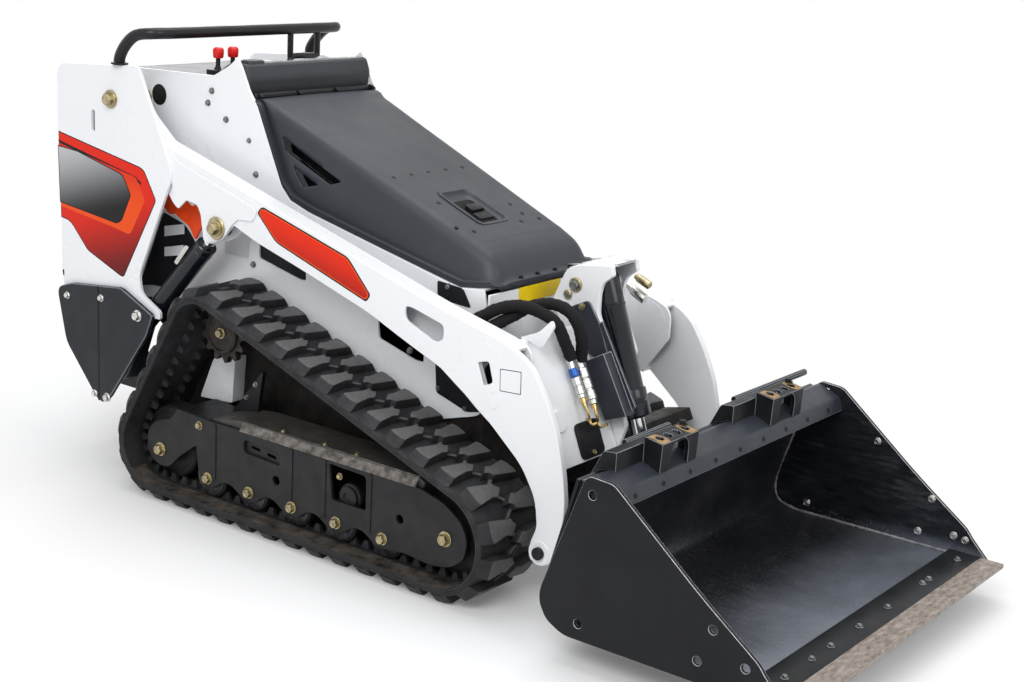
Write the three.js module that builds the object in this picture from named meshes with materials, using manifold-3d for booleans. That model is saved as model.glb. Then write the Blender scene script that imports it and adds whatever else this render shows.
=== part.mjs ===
// Mini skid steer loader on rubber tracks, with lift arms and a bucket.
// Millimetres. +X forward (to the bucket), +Y to the machine's left, +Z up, ground at z = 0.
import * as THREE from 'three';
import { mergeVertices } from 'three/addons/utils/BufferGeometryUtils.js';
import Module from 'manifold-3d';

const wasm = await Module();
wasm.setup();

// ---------------------------------------------------------------- driving dimensions
const GAP = 0.3;                  // clearance where two pieces seat on each other
const PLATE = 10;                 // thick structural plate
const SHEET = 6;                  // body sheet
const SHELF_IN = 195;             // inner edge of the shelf that carries the hood

const BELT_WIDTH = 235;           // rubber track
const BELT_INNER_Y = 260;         // inner edge of the belt from the middle of the machine
const BELT_THICK = 20;
const LUG_HEIGHT = 25;
const LUG_PITCH = 86;
const SPROCKET = { x: -600, z: 505, r: 93 };
const REAR_IDLER = { x: -786, z: 152, r: 107 };
const FRONT_IDLER = { x: 254, z: 168, r: 123 };
const ROLLER_R = 56;
const ROLLER_FRONT_X = 48;
const ROLLER_PITCH = 160;
const ROLLER_COUNT = 5;
const AXLE_R = 12;
const WHEEL_GAP = 1.5;            // between the belt and the wheels that it runs on

const HULL_HALF = 246;            // half width of the hull tub
const HULL_FLOOR_Z = 150;
const HULL_TOP_Z = 600;
const HULL_REAR_X = -900;
const HULL_FRONT_X = 196;
const SIDE_OUT = 254;             // outer face of the body side plates

const ARM_OUT = 370;              // outer face of a lift arm
const ARM_WIDTH = 60;
const ARM_WALL = 8;
const ARM_FRONT_THICK = 18;
const LIFT_PIVOT = { x: -1065, z: 1089 };
const LIFT_PIN = { x: -666, z: 780 };
const LIFT_BASE = { x: -1140, z: 275 };
const TILT_PIVOT = { x: 480, z: 162 };
const TILT_TOP = { x: 377, z: 761 };
const TILT_EYE = { x: 550, z: 277 };
const PIN_R = 16;
const LIFT_SHAFT_R = 20;

const TOWER_GAP = 5;              // side clearance between arm and tower plate
const TOWER_IN = ARM_OUT + TOWER_GAP;
const TOWER_OUT = TOWER_IN + PLATE;
const TOWER_REAR_X = -1300;
const LIFT_CYL_Y_IN = 304;        // inner cheek of the lift cylinder's base

const BUCKET_HALF = 559;
const BUCKET_SIDE = 12;
const BUCKET_PIN_Y = 300;         // half width of the attach frame

// ---------------------------------------------------------------- construction helpers
const colours = {
  white: [0xe9ebee, 0.42, 0.0],
  charcoal: [0x2b2c30, 0.6, 0.1],
  slate: [0x474c56, 0.62, 0.0],
  rubber: [0x1c1c1d, 0.9, 0.0],
  black: [0x141416, 0.45, 0.2],
  orange: [0xe03a16, 0.4, 0.0],
  yellow: [0xf2c416, 0.45, 0.0],
  zinc: [0xb9a878, 0.35, 0.9],
  chrome: [0xc8ccd2, 0.15, 1.0],
  steel: [0x5d534a, 0.45, 0.8],
  hose: [0x0f0f10, 0.95, 0.0],
};

const group = new THREE.Group();

// A three.js geometry becomes a closed manifold solid.
function solid(geometry) {
  const bare = new THREE.BufferGeometry();
  bare.setAttribute('position', geometry.getAttribute('position'));
  if (geometry.index) bare.setIndex(geometry.index);
  const merged = mergeVertices(bare, 1e-4);
  return new wasm.Manifold(new wasm.Mesh({
    numProp: 3,
    vertProperties: new Float32Array(merged.getAttribute('position').array),
    triVerts: new Uint32Array(merged.index.array),
  }));
}

// A closed outline in the side view; a corner with a third value is rounded by that radius.
function outline(points) {
  const shape = new THREE.Shape();
  const count = points.length;
  points.forEach(([x, z, r = 0], i) => {
    if (r === 0) {
      if (i === 0) shape.moveTo(x, z);
      else shape.lineTo(x, z);
      return;
    }
    const before = points[(i + count - 1) % count];
    const after = points[(i + 1) % count];
    const corner = new THREE.Vector2(x, z);
    const toBefore = new THREE.Vector2(before[0] - x, before[1] - z);
    const toAfter = new THREE.Vector2(after[0] - x, after[1] - z);
    const reachIn = Math.min(r, toBefore.length() * 0.49);
    const reachOut = Math.min(r, toAfter.length() * 0.49);
    const start = corner.clone().addScaledVector(toBefore.normalize(), reachIn);
    const end = corner.clone().addScaledVector(toAfter.normalize(), reachOut);
    if (i === 0) shape.moveTo(start.x, start.y);
    else shape.lineTo(start.x, start.y);
    shape.quadraticCurveTo(x, z, end.x, end.y);
  });
  shape.closePath();
  return shape;
}

// A side-view outline made into a plate between two distances from the middle plane.
function plate(points, y0, y1) {
  const shape = points instanceof THREE.Shape ? points : outline(points);
  const depth = Math.abs(y1 - y0);
  const geometry = new THREE.ExtrudeGeometry(shape, { depth, bevelEnabled: false, curveSegments: 2 });
  geometry.rotateX(Math.PI / 2);
  geometry.translate(0, Math.max(y0, y1), 0);
  return solid(geometry);
}

function box(x0, x1, y0, y1, z0, z1) {
  const geometry = new THREE.BoxGeometry(Math.abs(x1 - x0), Math.abs(y1 - y0), Math.abs(z1 - z0));
  geometry.translate((x0 + x1) / 2, (y0 + y1) / 2, (z0 + z1) / 2);
  return solid(geometry);
}

// A round bar between two points.
function bar(from, to, radius, segments = 16) {
  const a = new THREE.Vector3(...from);
  const b = new THREE.Vector3(...to);
  const along = b.clone().sub(a);
  const geometry = new THREE.CylinderGeometry(radius, radius, along.length(), segments);
  geometry.translate(0, along.length() / 2, 0);
  const turn = new THREE.Quaternion().setFromUnitVectors(new THREE.Vector3(0, 1, 0), along.normalize());
  geometry.applyQuaternion(turn);
  geometry.translate(a.x, a.y, a.z);
  return solid(geometry);
}

// A round bar across the machine.
function cross(at, radius, y0, y1, segments = 16) {
  return bar([at.x, y0, at.z], [at.x, y1, at.z], radius, segments);
}

// A round bar that follows a route; used for bent tube and for hoses.
function tube(route, radius, steps, sides = 12) {
  const circle = new THREE.Shape();
  circle.absarc(0, 0, radius, 0, Math.PI * 2, false);
  const path = new THREE.CatmullRomCurve3(route.map((p) => new THREE.Vector3(...p)), false, 'centripetal');
  const geometry = new THREE.ExtrudeGeometry(circle, {
    steps, extrudePath: path, bevelEnabled: false, curveSegments: sides,
  });
  return solid(geometry);
}

function union(list) {
  return list.reduce((sum, piece) => sum.add(piece));
}

function cut(body, list) {
  return list.reduce((rest, piece) => rest.subtract(piece), body);
}

function mirrored(body) {
  return body.mirror([0, 1, 0]);
}

// Adds one named sub-part to the machine.
function part(name, colour, body) {
  const mesh = body.getMesh();
  const geometry = new THREE.BufferGeometry();
  geometry.setAttribute('position', new THREE.BufferAttribute(new Float32Array(mesh.vertProperties), 3));
  geometry.setIndex(new THREE.BufferAttribute(new Uint32Array(mesh.triVerts), 1));
  geometry.computeVertexNormals();
  const [color, roughness, metalness] = colours[colour];
  const item = new THREE.Mesh(geometry, new THREE.MeshStandardMaterial({ color, roughness, metalness }));
  item.name = name;
  group.add(item);
}

// The right-hand piece is on the -Y side; the left one is its mirror image.
function pairOf(name, colour, rightBody) {
  part(`${name}_right`, colour, rightBody);
  part(`${name}_left`, colour, mirrored(rightBody));
}

// ---------------------------------------------------------------- rubber tracks
// Points along the belt, offset outward from the wheels: arcs on the wheels, straight runs between.
function loopPoints(offset, step) {
  const wheels = [SPROCKET, FRONT_IDLER, REAR_IDLER];
  const points = [];
  wheels.forEach((wheel, i) => {
    const before = wheels[(i + 2) % 3];
    const after = wheels[(i + 1) % 3];
    const inward = runNormal(before, wheel);
    const outward = runNormal(wheel, after);
    let turn = Math.atan2(inward.y, inward.x) - Math.atan2(outward.y, outward.x);
    turn = (turn + Math.PI * 2) % (Math.PI * 2);
    const start = Math.atan2(inward.y, inward.x);
    const count = Math.ceil(turn / step);
    for (let k = 0; k <= count; k += 1) {
      const angle = start - (turn * k) / count;
      const r = wheel.r + offset;
      points.push(new THREE.Vector2(wheel.x + r * Math.cos(angle), wheel.z + r * Math.sin(angle)));
    }
  });
  return points;
}

// Outward unit normal of the straight run from one wheel to the next, going clockwise.
function runNormal(from, to) {
  const along = new THREE.Vector2(to.x - from.x, to.z - from.z);
  const length = along.length();
  const lean = Math.asin((from.r - to.r) / length);
  const left = new THREE.Vector2(-along.y / length, along.x / length);
  const cos = Math.cos(lean);
  const sin = Math.sin(lean);
  const unit = along.clone().divideScalar(length);
  return new THREE.Vector2(left.x * cos + unit.x * sin, left.y * cos + unit.y * sin);
}

// The outer outline carries the lugs: a lug, then a bare stretch, at an even pitch.
function lugOutline() {
  const base = loopPoints(BELT_THICK, 0.12);
  const closed = [...base, base[0]];
  const lengths = [0];
  for (let i = 1; i < closed.length; i += 1) {
    lengths.push(lengths[i - 1] + closed[i].distanceTo(closed[i - 1]));
  }
  const total = lengths[lengths.length - 1];
  const count = Math.round(total / LUG_PITCH);
  const pitch = total / count;
  const at = (s) => {
    const d = ((s % total) + total) % total;
    let i = 1;
    while (lengths[i] < d) i += 1;
    const t = (d - lengths[i - 1]) / (lengths[i] - lengths[i - 1]);
    const here = closed[i - 1].clone().lerp(closed[i], t);
    const along = closed[i].clone().sub(closed[i - 1]).normalize();
    return { here, out: new THREE.Vector2(-along.y, along.x) };
  };
  const stations = [
    { share: 0.0, rise: 0 }, { share: 0.1, rise: LUG_HEIGHT }, { share: 0.32, rise: LUG_HEIGHT },
    { share: 0.54, rise: LUG_HEIGHT }, { share: 0.64, rise: 0 }, { share: 0.82, rise: 0 },
  ];
  const points = [];
  for (let k = 0; k < count; k += 1) {
    stations.forEach(({ share, rise }) => {
      const { here, out } = at((k + share) * pitch);
      points.push(here.addScaledVector(out, rise));
    });
  }
  return points;
}

function track() {
  const outer = plate(new THREE.Shape(lugOutline()), -BELT_INNER_Y - BELT_WIDTH, -BELT_INNER_Y);
  const hollow = plate(new THREE.Shape(loopPoints(0, 0.2)), -BELT_INNER_Y - BELT_WIDTH - 5, -BELT_INNER_Y + 5);
  const ground = box(-3000, 3000, -1000, 0, -200, 0);
  return cut(outer, [hollow, ground]);
}
pairOf('track', 'rubber', track());

// ---------------------------------------------------------------- track frames with rollers and idlers
const FRAME_OUT = 450;            // outer face of the roller frame plate
const FRAME_IN = 306;
const FRAME_PLATE = 10;
const ROLLER_END = FRAME_OUT - FRAME_PLATE - 3;
const ROLLER_START = FRAME_IN + FRAME_PLATE + 3;
const rollerXs = Array.from({ length: ROLLER_COUNT }, (_, i) => ROLLER_FRONT_X - i * ROLLER_PITCH);
const ROLLER_Z = 45 + ROLLER_R;

// Lower edge of the frame plate dips to each roller axle and rises between them.
function framePlateOutline() {
  const top = [[-588, 268, 8], [-500, 280], [-445, 288], [165, 278, 10], [240, 252, 20], [300, 210, 25]];
  const front = [[320, 168, 20], [312, 118, 15], [270, 84, 25], [205, 74, 20], [120, 82]];
  const lower = [];
  rollerXs.forEach((x, i) => {
    lower.push([x + 18, 74, 12], [x - 22, 74, 12]);
    if (i < ROLLER_COUNT - 1) {
      const between = x - ROLLER_PITCH / 2;
      lower.push([between + 12, 104, 20], [between - 22, 104, 20]);
    }
  });
  const rear = [[-632, 118, 20], [-640, 186, 12], [-716, 130, 25], [-750, 92, 30], [-800, 90, 30],
    [-842, 120, 35], [-840, 190, 35], [-800, 222, 20], [-745, 238, 8], [-716, 274, 6]];
  return [...top, ...front, ...lower, ...rear];
}

function trackFrame() {
  const outer = cut(plate(framePlateOutline(), -FRAME_OUT, -FRAME_OUT + FRAME_PLATE), [
    plate([[-66, 240, 6], [18, 240, 18], [18, 150, 6], [-66, 160, 6]], -FRAME_OUT - 5, -FRAME_OUT + 20),
    cross({ x: 102, z: 168 }, 12, -FRAME_OUT - 5, -FRAME_OUT + 20),
    cross({ x: -332, z: 160 }, 13, -FRAME_OUT - 5, -FRAME_OUT + 20),
  ]);
  const inner = plate(framePlateOutline(), -FRAME_IN - FRAME_PLATE, -FRAME_IN);
  const pieces = [outer, inner];
  pieces.push(box(-480, 140, -FRAME_OUT + FRAME_PLATE - 1, -FRAME_IN - FRAME_PLATE + 1, 262, 272));
  pieces.push(box(-700, -640, -FRAME_OUT + FRAME_PLATE - 1, -FRAME_IN - FRAME_PLATE + 1, 246, 256));
  rollerXs.forEach((x) => {
    pieces.push(cross({ x, z: ROLLER_Z }, AXLE_R, -FRAME_OUT - 8, -FRAME_IN + 4, 8));
    pieces.push(cross({ x, z: ROLLER_Z }, ROLLER_R - 8, -ROLLER_END + 10, -ROLLER_START - 10, 16));
    pieces.push(cross({ x, z: ROLLER_Z }, ROLLER_R - GAP, -ROLLER_END, -ROLLER_END + 14, 20));
    pieces.push(cross({ x, z: ROLLER_Z }, ROLLER_R - GAP, -ROLLER_START - 14, -ROLLER_START, 20));
  });
  [REAR_IDLER, FRONT_IDLER].forEach(({ x, z, r }) => {
    pieces.push(cross({ x, z }, AXLE_R + 2, -FRAME_OUT - 8, -FRAME_IN + 4, 10));
    pieces.push(cross({ x, z }, r - WHEEL_GAP, -410, -345, 32));
    pieces.push(cross({ x, z }, 40, -ROLLER_END, -ROLLER_START, 12));
  });
  // Two cross beams carry the frame on the hull.
  [-440, 60].forEach((x) => {
    pieces.push(box(x - 40, x + 40, -FRAME_IN - 5, -HULL_HALF - GAP, 180, 260));
  });
  return union(pieces);
}
pairOf('track_frame', 'charcoal', trackFrame());

// ---------------------------------------------------------------- drive sprockets
const SPROCKET_TEETH = 13;
function sprocket() {
  const disc = cross(SPROCKET, 66, -392, -372, 26);
  const teeth = [];
  for (let k = 0; k < SPROCKET_TEETH; k += 1) {
    const a = (k / SPROCKET_TEETH) * Math.PI * 2;
    const x = SPROCKET.x + Math.cos(a) * 62;
    const z = SPROCKET.z + Math.sin(a) * 62;
    teeth.push(bar([x, -382, z], [x + Math.cos(a) * 22, -382, z + Math.sin(a) * 22], 8, 6));
  }
  const hub = cross(SPROCKET, 50, -400, -300, 20);
  const motor = cross(SPROCKET, 62, -340, -HULL_HALF - GAP, 16);
  return union([disc, hub, motor, ...teeth]);
}
pairOf('drive_sprocket', 'charcoal', sprocket());

// ---------------------------------------------------------------- hull tub and engine
function hull() {
  const shell = box(HULL_REAR_X, HULL_FRONT_X, -HULL_HALF, HULL_HALF, HULL_FLOOR_Z, HULL_TOP_Z);
  const inside = box(HULL_REAR_X + PLATE, HULL_FRONT_X - PLATE, -HULL_HALF + PLATE, HULL_HALF - PLATE,
    HULL_FLOOR_Z + PLATE, HULL_TOP_Z + 50);
  return shell.subtract(inside);
}
part('hull', 'charcoal', hull());

const ENGINE = { x0: -560, x1: 60, half: 190, top: 640 };
part('engine_block', 'black', box(ENGINE.x0, ENGINE.x1, -ENGINE.half, ENGINE.half,
  HULL_FLOOR_Z + PLATE + GAP, ENGINE.top));

// ---------------------------------------------------------------- body sides and tower
// The hood's lower edge in the side view, front to rear; the body side carries it with a clearance.
const hoodSeam = [[182, 745], [100, 736], [-423, 850], [-491, 872], [-525, 906], [-621, 1111]];
const seamBelow = (drop) => hoodSeam.map(([x, z]) => [x - drop, z - drop]);
const bodyOutline = [
  [TOWER_REAR_X + PLATE + GAP, 540, 4], [TOWER_REAR_X + PLATE + GAP, 1150, 4], [-1124, 1167], [-793, 1176, 10],
  [-731, 1209, 20], [-700, 1234, 6], [-680, 1205, 6], [-653, 1150], [-634, 1125],
  ...seamBelow(GAP + 0.05).reverse(),
  [196, 690], [196, 420, 30], [60, 380], [-250, 440], [-500, 300], [-520, 200], [-900, 200],
  [-930, 380], [-1100, 500],
];
function bodySide() {
  const panel = plate(bodyOutline, -SIDE_OUT, -HULL_HALF - GAP);
  const windows = [
    [[-607, 753, 8], [-427, 700, 8], [-426, 660, 8], [-452, 660, 6], [-606, 694, 6]],
    [[-168, 627, 8], [-5, 578, 8], [-2, 519, 8], [-30, 519, 6], [-158, 553, 8]],
  ].map((points) => plate(points, -SIDE_OUT - 5, -HULL_HALF + 5));
  const motorRoom = cross(SPROCKET, 63, -SIDE_OUT - 5, -HULL_HALF + 5, 24);
  const shelf = plate([...seamBelow(GAP + 0.05), ...seamBelow(SHEET + 2).reverse()], -SIDE_OUT + 1, -SHELF_IN);
  return union([cut(panel, [...windows, motorRoom]), shelf]);
}
pairOf('body_side', 'white', bodySide());

function tower() {
  const cheek = plate([
    [TOWER_REAR_X, 1149, 14], [-1277, 1170, 12], [-958, 1192, 10], [-945, 1176, 10], [-818, 922, 14],
    [-817, 900, 10], [-950, 604, 20], [-942, 552, 20], [-862, 512, 10], [-862, 489, 6], [-1278, 489],
    [-1287, 713, 10], [TOWER_REAR_X, 970, 10],
  ], -TOWER_OUT, -TOWER_IN);
  const slot = plate([[-1152, 1050, 8], [-1136, 1050, 8], [-1136, 988, 8], [-1152, 988, 8]],
    -TOWER_OUT - 5, -TOWER_IN + 5);
  const rear = box(TOWER_REAR_X, TOWER_REAR_X + PLATE, -TOWER_IN - 1, -HULL_HALF - 2, 540, 1140);
  const rearFoot = plate([[TOWER_REAR_X + 12, 489], [TOWER_REAR_X, 560], [TOWER_REAR_X + PLATE, 560],
    [TOWER_REAR_X + 30, 489]], -TOWER_IN - 1, -SIDE_OUT - GAP);
  const bore = cross(LIFT_PIVOT, LIFT_SHAFT_R + GAP, -TOWER_OUT - 5, -TOWER_IN + 5);
  return union([cut(cheek, [slot, bore]), rear, rearFoot]);
}
pairOf('tower', 'white', tower());

// ---------------------------------------------------------------- rear guards with the cylinder base
const guardOutline = [
  [-1292, 487], [-1292, 513, 20], [-1232, 533, 10], [-1111, 546], [-1014, 557, 10], [-879, 500, 8],
  [-904, 437, 10], [-1079, 198, 30], [-1115, 197, 20], [-1258, 351, 20],
];
const BASE_TOP = 486;
const cylinderBaseSide = [
  [TOWER_REAR_X + 40, BASE_TOP], [-1000, BASE_TOP, 20], [-1060, 330, 30], [-1110, 238, 30], [-1165, 238, 30],
  [-1240, 360, 30],
];
function rearGuard() {
  const face = plate(guardOutline, -TOWER_OUT - GAP - 14, -TOWER_OUT - GAP);
  const innerCheek = plate(cylinderBaseSide, -LIFT_CYL_Y_IN, -SIDE_OUT - GAP);
  const outerCheek = plate(cylinderBaseSide, -TOWER_OUT - 1, -TOWER_IN);
  const floor = box(TOWER_REAR_X + 42, -1180, -TOWER_OUT, -SIDE_OUT - GAP, BASE_TOP - 16, BASE_TOP);
  const pin = cross(LIFT_BASE, PIN_R, -TOWER_OUT + 4, -SIDE_OUT - 4, 20);
  return union([face, innerCheek, outerCheek, floor, pin]);
}
pairOf('rear_guard', 'charcoal', rearGuard());

function pivotPin() {
  const shaft = cross(LIFT_PIVOT, LIFT_SHAFT_R, -TOWER_OUT - 14, -SIDE_OUT - GAP, 16);
  return union([shaft, cross(LIFT_PIVOT, 24, -TOWER_OUT - 16, -TOWER_OUT - GAP, 16)]);
}

// ---------------------------------------------------------------- lift arms
const armSide = [
  [-1065, 1148, 20], [-1015, 1136, 15], [-960, 1055, 20], [-879, 990, 10], [-341, 842], [139, 708],
  [335, 664], [389, 641, 34], [389, 560, 10], [311, 451], [270, 477], [229, 507], [188, 542], [147, 559],
  [30, 603], [-92, 652], [-336, 725], [-505, 771], [-587, 802, 8], [-630, 755, 10], [-672, 736, 12],
  [-703, 743, 10], [-715, 811, 12], [-729, 836, 8], [-773, 844, 8], [-806, 814, 8], [-826, 828, 8],
  [-870, 880, 20], [-1040, 1032, 20], [-1095, 1040, 20], [-1125, 1089, 20],
];
// The slot for a hand goes through the arm's box and the front plate on it.
const HAND_SLOT = [[263, 597, 6], [297, 606, 8], [312, 556, 6], [286, 541, 6]];
const armCavity = [
  [-930, 1018], [-879, 982], [-341, 834], [139, 700], [335, 656], [379, 630, 30], [379, 560, 10], [309, 462],
  [272, 487], [232, 516], [190, 551], [149, 568], [32, 612], [-90, 661], [-334, 734], [-503, 780],
  [-587, 812], [-587, 700], [-900, 700], [-900, 920],
];
function armBox() {
  const body = plate(armSide, -ARM_OUT, -ARM_OUT + ARM_WIDTH);
  const cavity = plate(armCavity, -ARM_OUT + ARM_WALL, -ARM_OUT + ARM_WIDTH - ARM_WALL);
  const longSlot = plate([[26, 694, 12], [49, 694, 12], [152, 668, 12], [153, 630, 14], [127, 621, 10],
    [28, 660, 14]], -ARM_OUT - 5, -ARM_OUT + ARM_WALL + 5);
  const handSlot = plate(HAND_SLOT, -ARM_OUT - 5, -ARM_OUT + ARM_WALL + 5);
  const eye = cross(LIFT_PIVOT, LIFT_SHAFT_R + 0.8, -ARM_OUT - 5, -ARM_OUT + ARM_WIDTH + 5, 16);
  return cut(body, [cavity, longSlot, handSlot, eye]);
}
const armNose = [
  [300, 671], [335, 664], [389, 641, 20], [430, 612, 20], [473, 548, 20], [511, 470, 20], [535, 376, 20],
  [546, 300, 20], [540, 215, 20], [512, 140, 15], [480, 128, 20], [448, 140, 15], [450, 180, 10],
  [467, 225, 12], [458, 293, 20], [411, 368, 20], [311, 451, 20], [229, 507], [147, 559],
];
function armFront() {
  const nose = plate(armNose, -ARM_OUT, -ARM_OUT + ARM_FRONT_THICK);
  const boss = cross(TILT_PIVOT, 32, -ARM_OUT - 2, -ARM_OUT + 50, 16);
  const handSlot = plate(HAND_SLOT, -ARM_OUT - 5, -ARM_OUT + ARM_FRONT_THICK + 5);
  const bore = cross(TILT_PIVOT, PIN_R + 1, -ARM_OUT - 5, -ARM_OUT + 60, 16);
  return cut(union([nose, boss]), [handSlot, bore]);
}
function liftArm() {
  // The pin shows as a stub on each wall, because the rod's eye drifts between the walls.
  const outerStub = cross(LIFT_PIN, PIN_R, -ARM_OUT - 12, -ARM_OUT + ARM_WALL, 20);
  const innerStub = cross(LIFT_PIN, PIN_R, -ARM_OUT + ARM_WIDTH - ARM_WALL, -ARM_OUT + ARM_WIDTH + 6, 20);
  return union([armBox(), armFront(), outerStub, innerStub]);
}
pairOf('lift_arm', 'white', liftArm());
pairOf('pivot_pin', 'zinc', pivotPin());

// The cross member is a bent plate with a lower lip, from the right arm's nose to the tilt cylinder's right
// cheek; past it a box tube runs on to the left arm, so the space beside the cylinder stays open.
const CHEEK_IN = 46;               // half the space between the tilt cylinder's cheeks
const CHEEK_THICK = 16;
const crossMemberHalf = ARM_OUT - ARM_WIDTH - GAP;
const crossMemberFace = [[298, 640], [332, 656], [346, 652], [417, 526], [487, 357]];
const crossMemberSide = [
  ...crossMemberFace, [410, 338], [407, 348], [473, 363], [408, 520], [340, 642], [302, 628],
];
const crossTubeSide = [[407, 348], [410, 338], [487, 357], [473, 388], [400, 372]];
// A point on the cross member's lower face, so far down from its bend and so far out from the face.
const FACE_BEND = { x: 417, z: 526 };
const FACE_FOOT = { x: 487, z: 357 };
const faceLength = Math.hypot(FACE_FOOT.x - FACE_BEND.x, FACE_FOOT.z - FACE_BEND.z);
function onLowerFace(down, out) {
  const alongX = (FACE_FOOT.x - FACE_BEND.x) / faceLength;
  const alongZ = (FACE_FOOT.z - FACE_BEND.z) / faceLength;
  return { x: FACE_BEND.x + down * alongX - out * alongZ, z: FACE_BEND.z + down * alongZ + out * alongX };
}
const FACE_BOSS = { down: 66, y: -270, radius: 28, rise: 7 };
function crossMember() {
  const sheet = plate(crossMemberSide, -crossMemberHalf, -CHEEK_IN);
  const tube = plate(crossTubeSide, -CHEEK_IN - 1, crossMemberHalf);
  const root = onLowerFace(FACE_BOSS.down, -4);
  const top = onLowerFace(FACE_BOSS.down, FACE_BOSS.rise);
  const boss = bar([root.x, FACE_BOSS.y, root.z], [top.x, FACE_BOSS.y, top.z], FACE_BOSS.radius, 20);
  return union([sheet, tube, boss]);
}
part('cross_member', 'white', crossMember());

// Cheeks that hold the tilt cylinder, with its upper pin. The right cheek stands on the cross member's sheet,
// and the left one reaches down to its tube.
const cheekTop = [
  [253, 697, 15], [295, 793, 15], [330, 809, 8], [432, 823, 5], [438, 797, 5], [407, 773, 12], [400, 745, 12],
  [400, 693, 10], [452, 584, 10],
];
const rightCheekSide = [
  ...cheekTop, [506, 420, 10], ...crossMemberFace.map(([x, z]) => [x + GAP + 0.1, z + GAP]).reverse(),
];
const leftCheekSide = [
  ...cheekTop, [424, 520, 20], [438, 380.8], [402, 372.9], [390, 500, 20], [340, 640, 15],
];
const cheekFold = [[295, 787], [330, 803], [428, 816], [432, 823], [330, 809], [295, 793]];
function tiltBracket() {
  const rightCheek = plate(rightCheekSide, -CHEEK_IN - CHEEK_THICK, -CHEEK_IN);
  const leftCheek = plate(leftCheekSide, CHEEK_IN, CHEEK_IN + CHEEK_THICK);
  const pin = cross(TILT_TOP, PIN_R, -CHEEK_IN - CHEEK_THICK / 2, CHEEK_IN + CHEEK_THICK / 2, 20);
  const fold = plate(cheekFold, -CHEEK_IN - 1, CHEEK_IN + 1);
  return union([rightCheek, leftCheek, pin, fold]);
}
part('tilt_bracket', 'white', tiltBracket());

// ---------------------------------------------------------------- auxiliary hydraulics on the arms
// Guard for the couplers: a bent plate on the right cheek, beside the tilt cylinder.
const GUARD_Y = -CHEEK_IN - CHEEK_THICK - GAP;
const GUARD_DEPTH = 42;
const GUARD_STRIP = 8;
function couplerGuard() {
  const face = plate([[398, 578, 4], [452, 609, 4], [532, 462, 4], [470, 438, 4]],
    GUARD_Y - GUARD_DEPTH, GUARD_Y);
  const strip = plate([[409, 672, 3], [420, 681, 3], [536, 481, 3], [516, 458, 3]],
    GUARD_Y - GUARD_STRIP, GUARD_Y);
  const upper = plate([[318, 699, 10], [373, 726, 10], [414, 668, 10], [440, 600], [430, 580],
    [388, 583, 10]],
    GUARD_Y - GUARD_STRIP + 2, GUARD_Y);
  return union([face, strip, upper]);
}
part('coupler_guard', 'slate', couplerGuard());

// Two quick couplers and their hard lines, which end on a plate on the cross member's lower face.
const HOSE_R = 13;
const COUPLERS = [
  { y: -171, from: [412, 581], collar: [423, 561], to: [452, 510], end: [474, 470], endY: -179, radius: 10.5 },
  { y: -140, from: [415, 576], collar: [430, 549], to: [456, 503], end: [476, 466], endY: -147, radius: 12.5 },
];
const COUPLER_PLATE = { down0: 86, down1: 178, y0: -217, y1: -119, thick: 6 };
function hydraulicCouplers() {
  const plateFoot = onLowerFace(COUPLER_PLATE.down0, 0);
  const pieces = [plate([
    onLowerFace(COUPLER_PLATE.down0, GAP), onLowerFace(COUPLER_PLATE.down0, COUPLER_PLATE.thick),
    onLowerFace(COUPLER_PLATE.down1, COUPLER_PLATE.thick), onLowerFace(COUPLER_PLATE.down1, GAP),
  ].map(({ x, z }) => [x, z]), COUPLER_PLATE.y0, COUPLER_PLATE.y1)];
  COUPLERS.forEach(({ y, from, collar, to, end, endY, radius }) => {
    const lean = (endY - y) / (from[1] - end[1]);
    const at = ([x, z]) => [x, y + (from[1] - z) * lean, z];
    pieces.push(bar(at(from), at(collar), radius - 1.5, 12));
    pieces.push(bar(at(collar), at(to), radius, 14));
    pieces.push(bar(at(to), at(end), 5, 8));
    pieces.push(bar(at(end), [plateFoot.x + 12, endY, plateFoot.z - 12], 5, 8));
  });
  return union(pieces);
}
part('hydraulic_couplers', 'zinc', hydraulicCouplers());

// Two sleeved hoses run from fittings on the right arm's inner wall, over the cross member, to the couplers.
const HOSES = [
  [[98, -296.5, 627], [120, -296.5, 640], [204, -280, 687], [235, -265, 708], [286, -240, 722],
    [330, -215, 710], [366, -195, 686], [390, -180, 632], [404, -171, 596]],
  [[96, -296.5, 594], [120, -296.5, 598], [170, -290, 616], [224, -282, 658], [262, -240, 690],
    [300, -190, 719], [345, -165, 723], [388, -157, 704], [411, -148, 656], [412, -140.4, 590]],
];
HOSES.forEach((route, i) => part(`hose_${i + 1}`, 'hose', tube(route, HOSE_R, 16, 5)));
function hoseFittings() {
  const ferrules = HOSES.map(([start, next]) => {
    const way = new THREE.Vector3(...next).sub(new THREE.Vector3(...start)).normalize();
    const mouth = new THREE.Vector3(...start).addScaledVector(way, -GAP);
    const tail = new THREE.Vector3(...start).addScaledVector(way, -34);
    return bar(mouth.toArray(), tail.toArray(), HOSE_R - 2, 12);
  });
  const block = box(50, 76, -ARM_OUT + ARM_WIDTH + GAP, -283, 578, 622);
  return union([block, ...ferrules]);
}
part('hose_fittings', 'zinc', hoseFittings());

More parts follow.
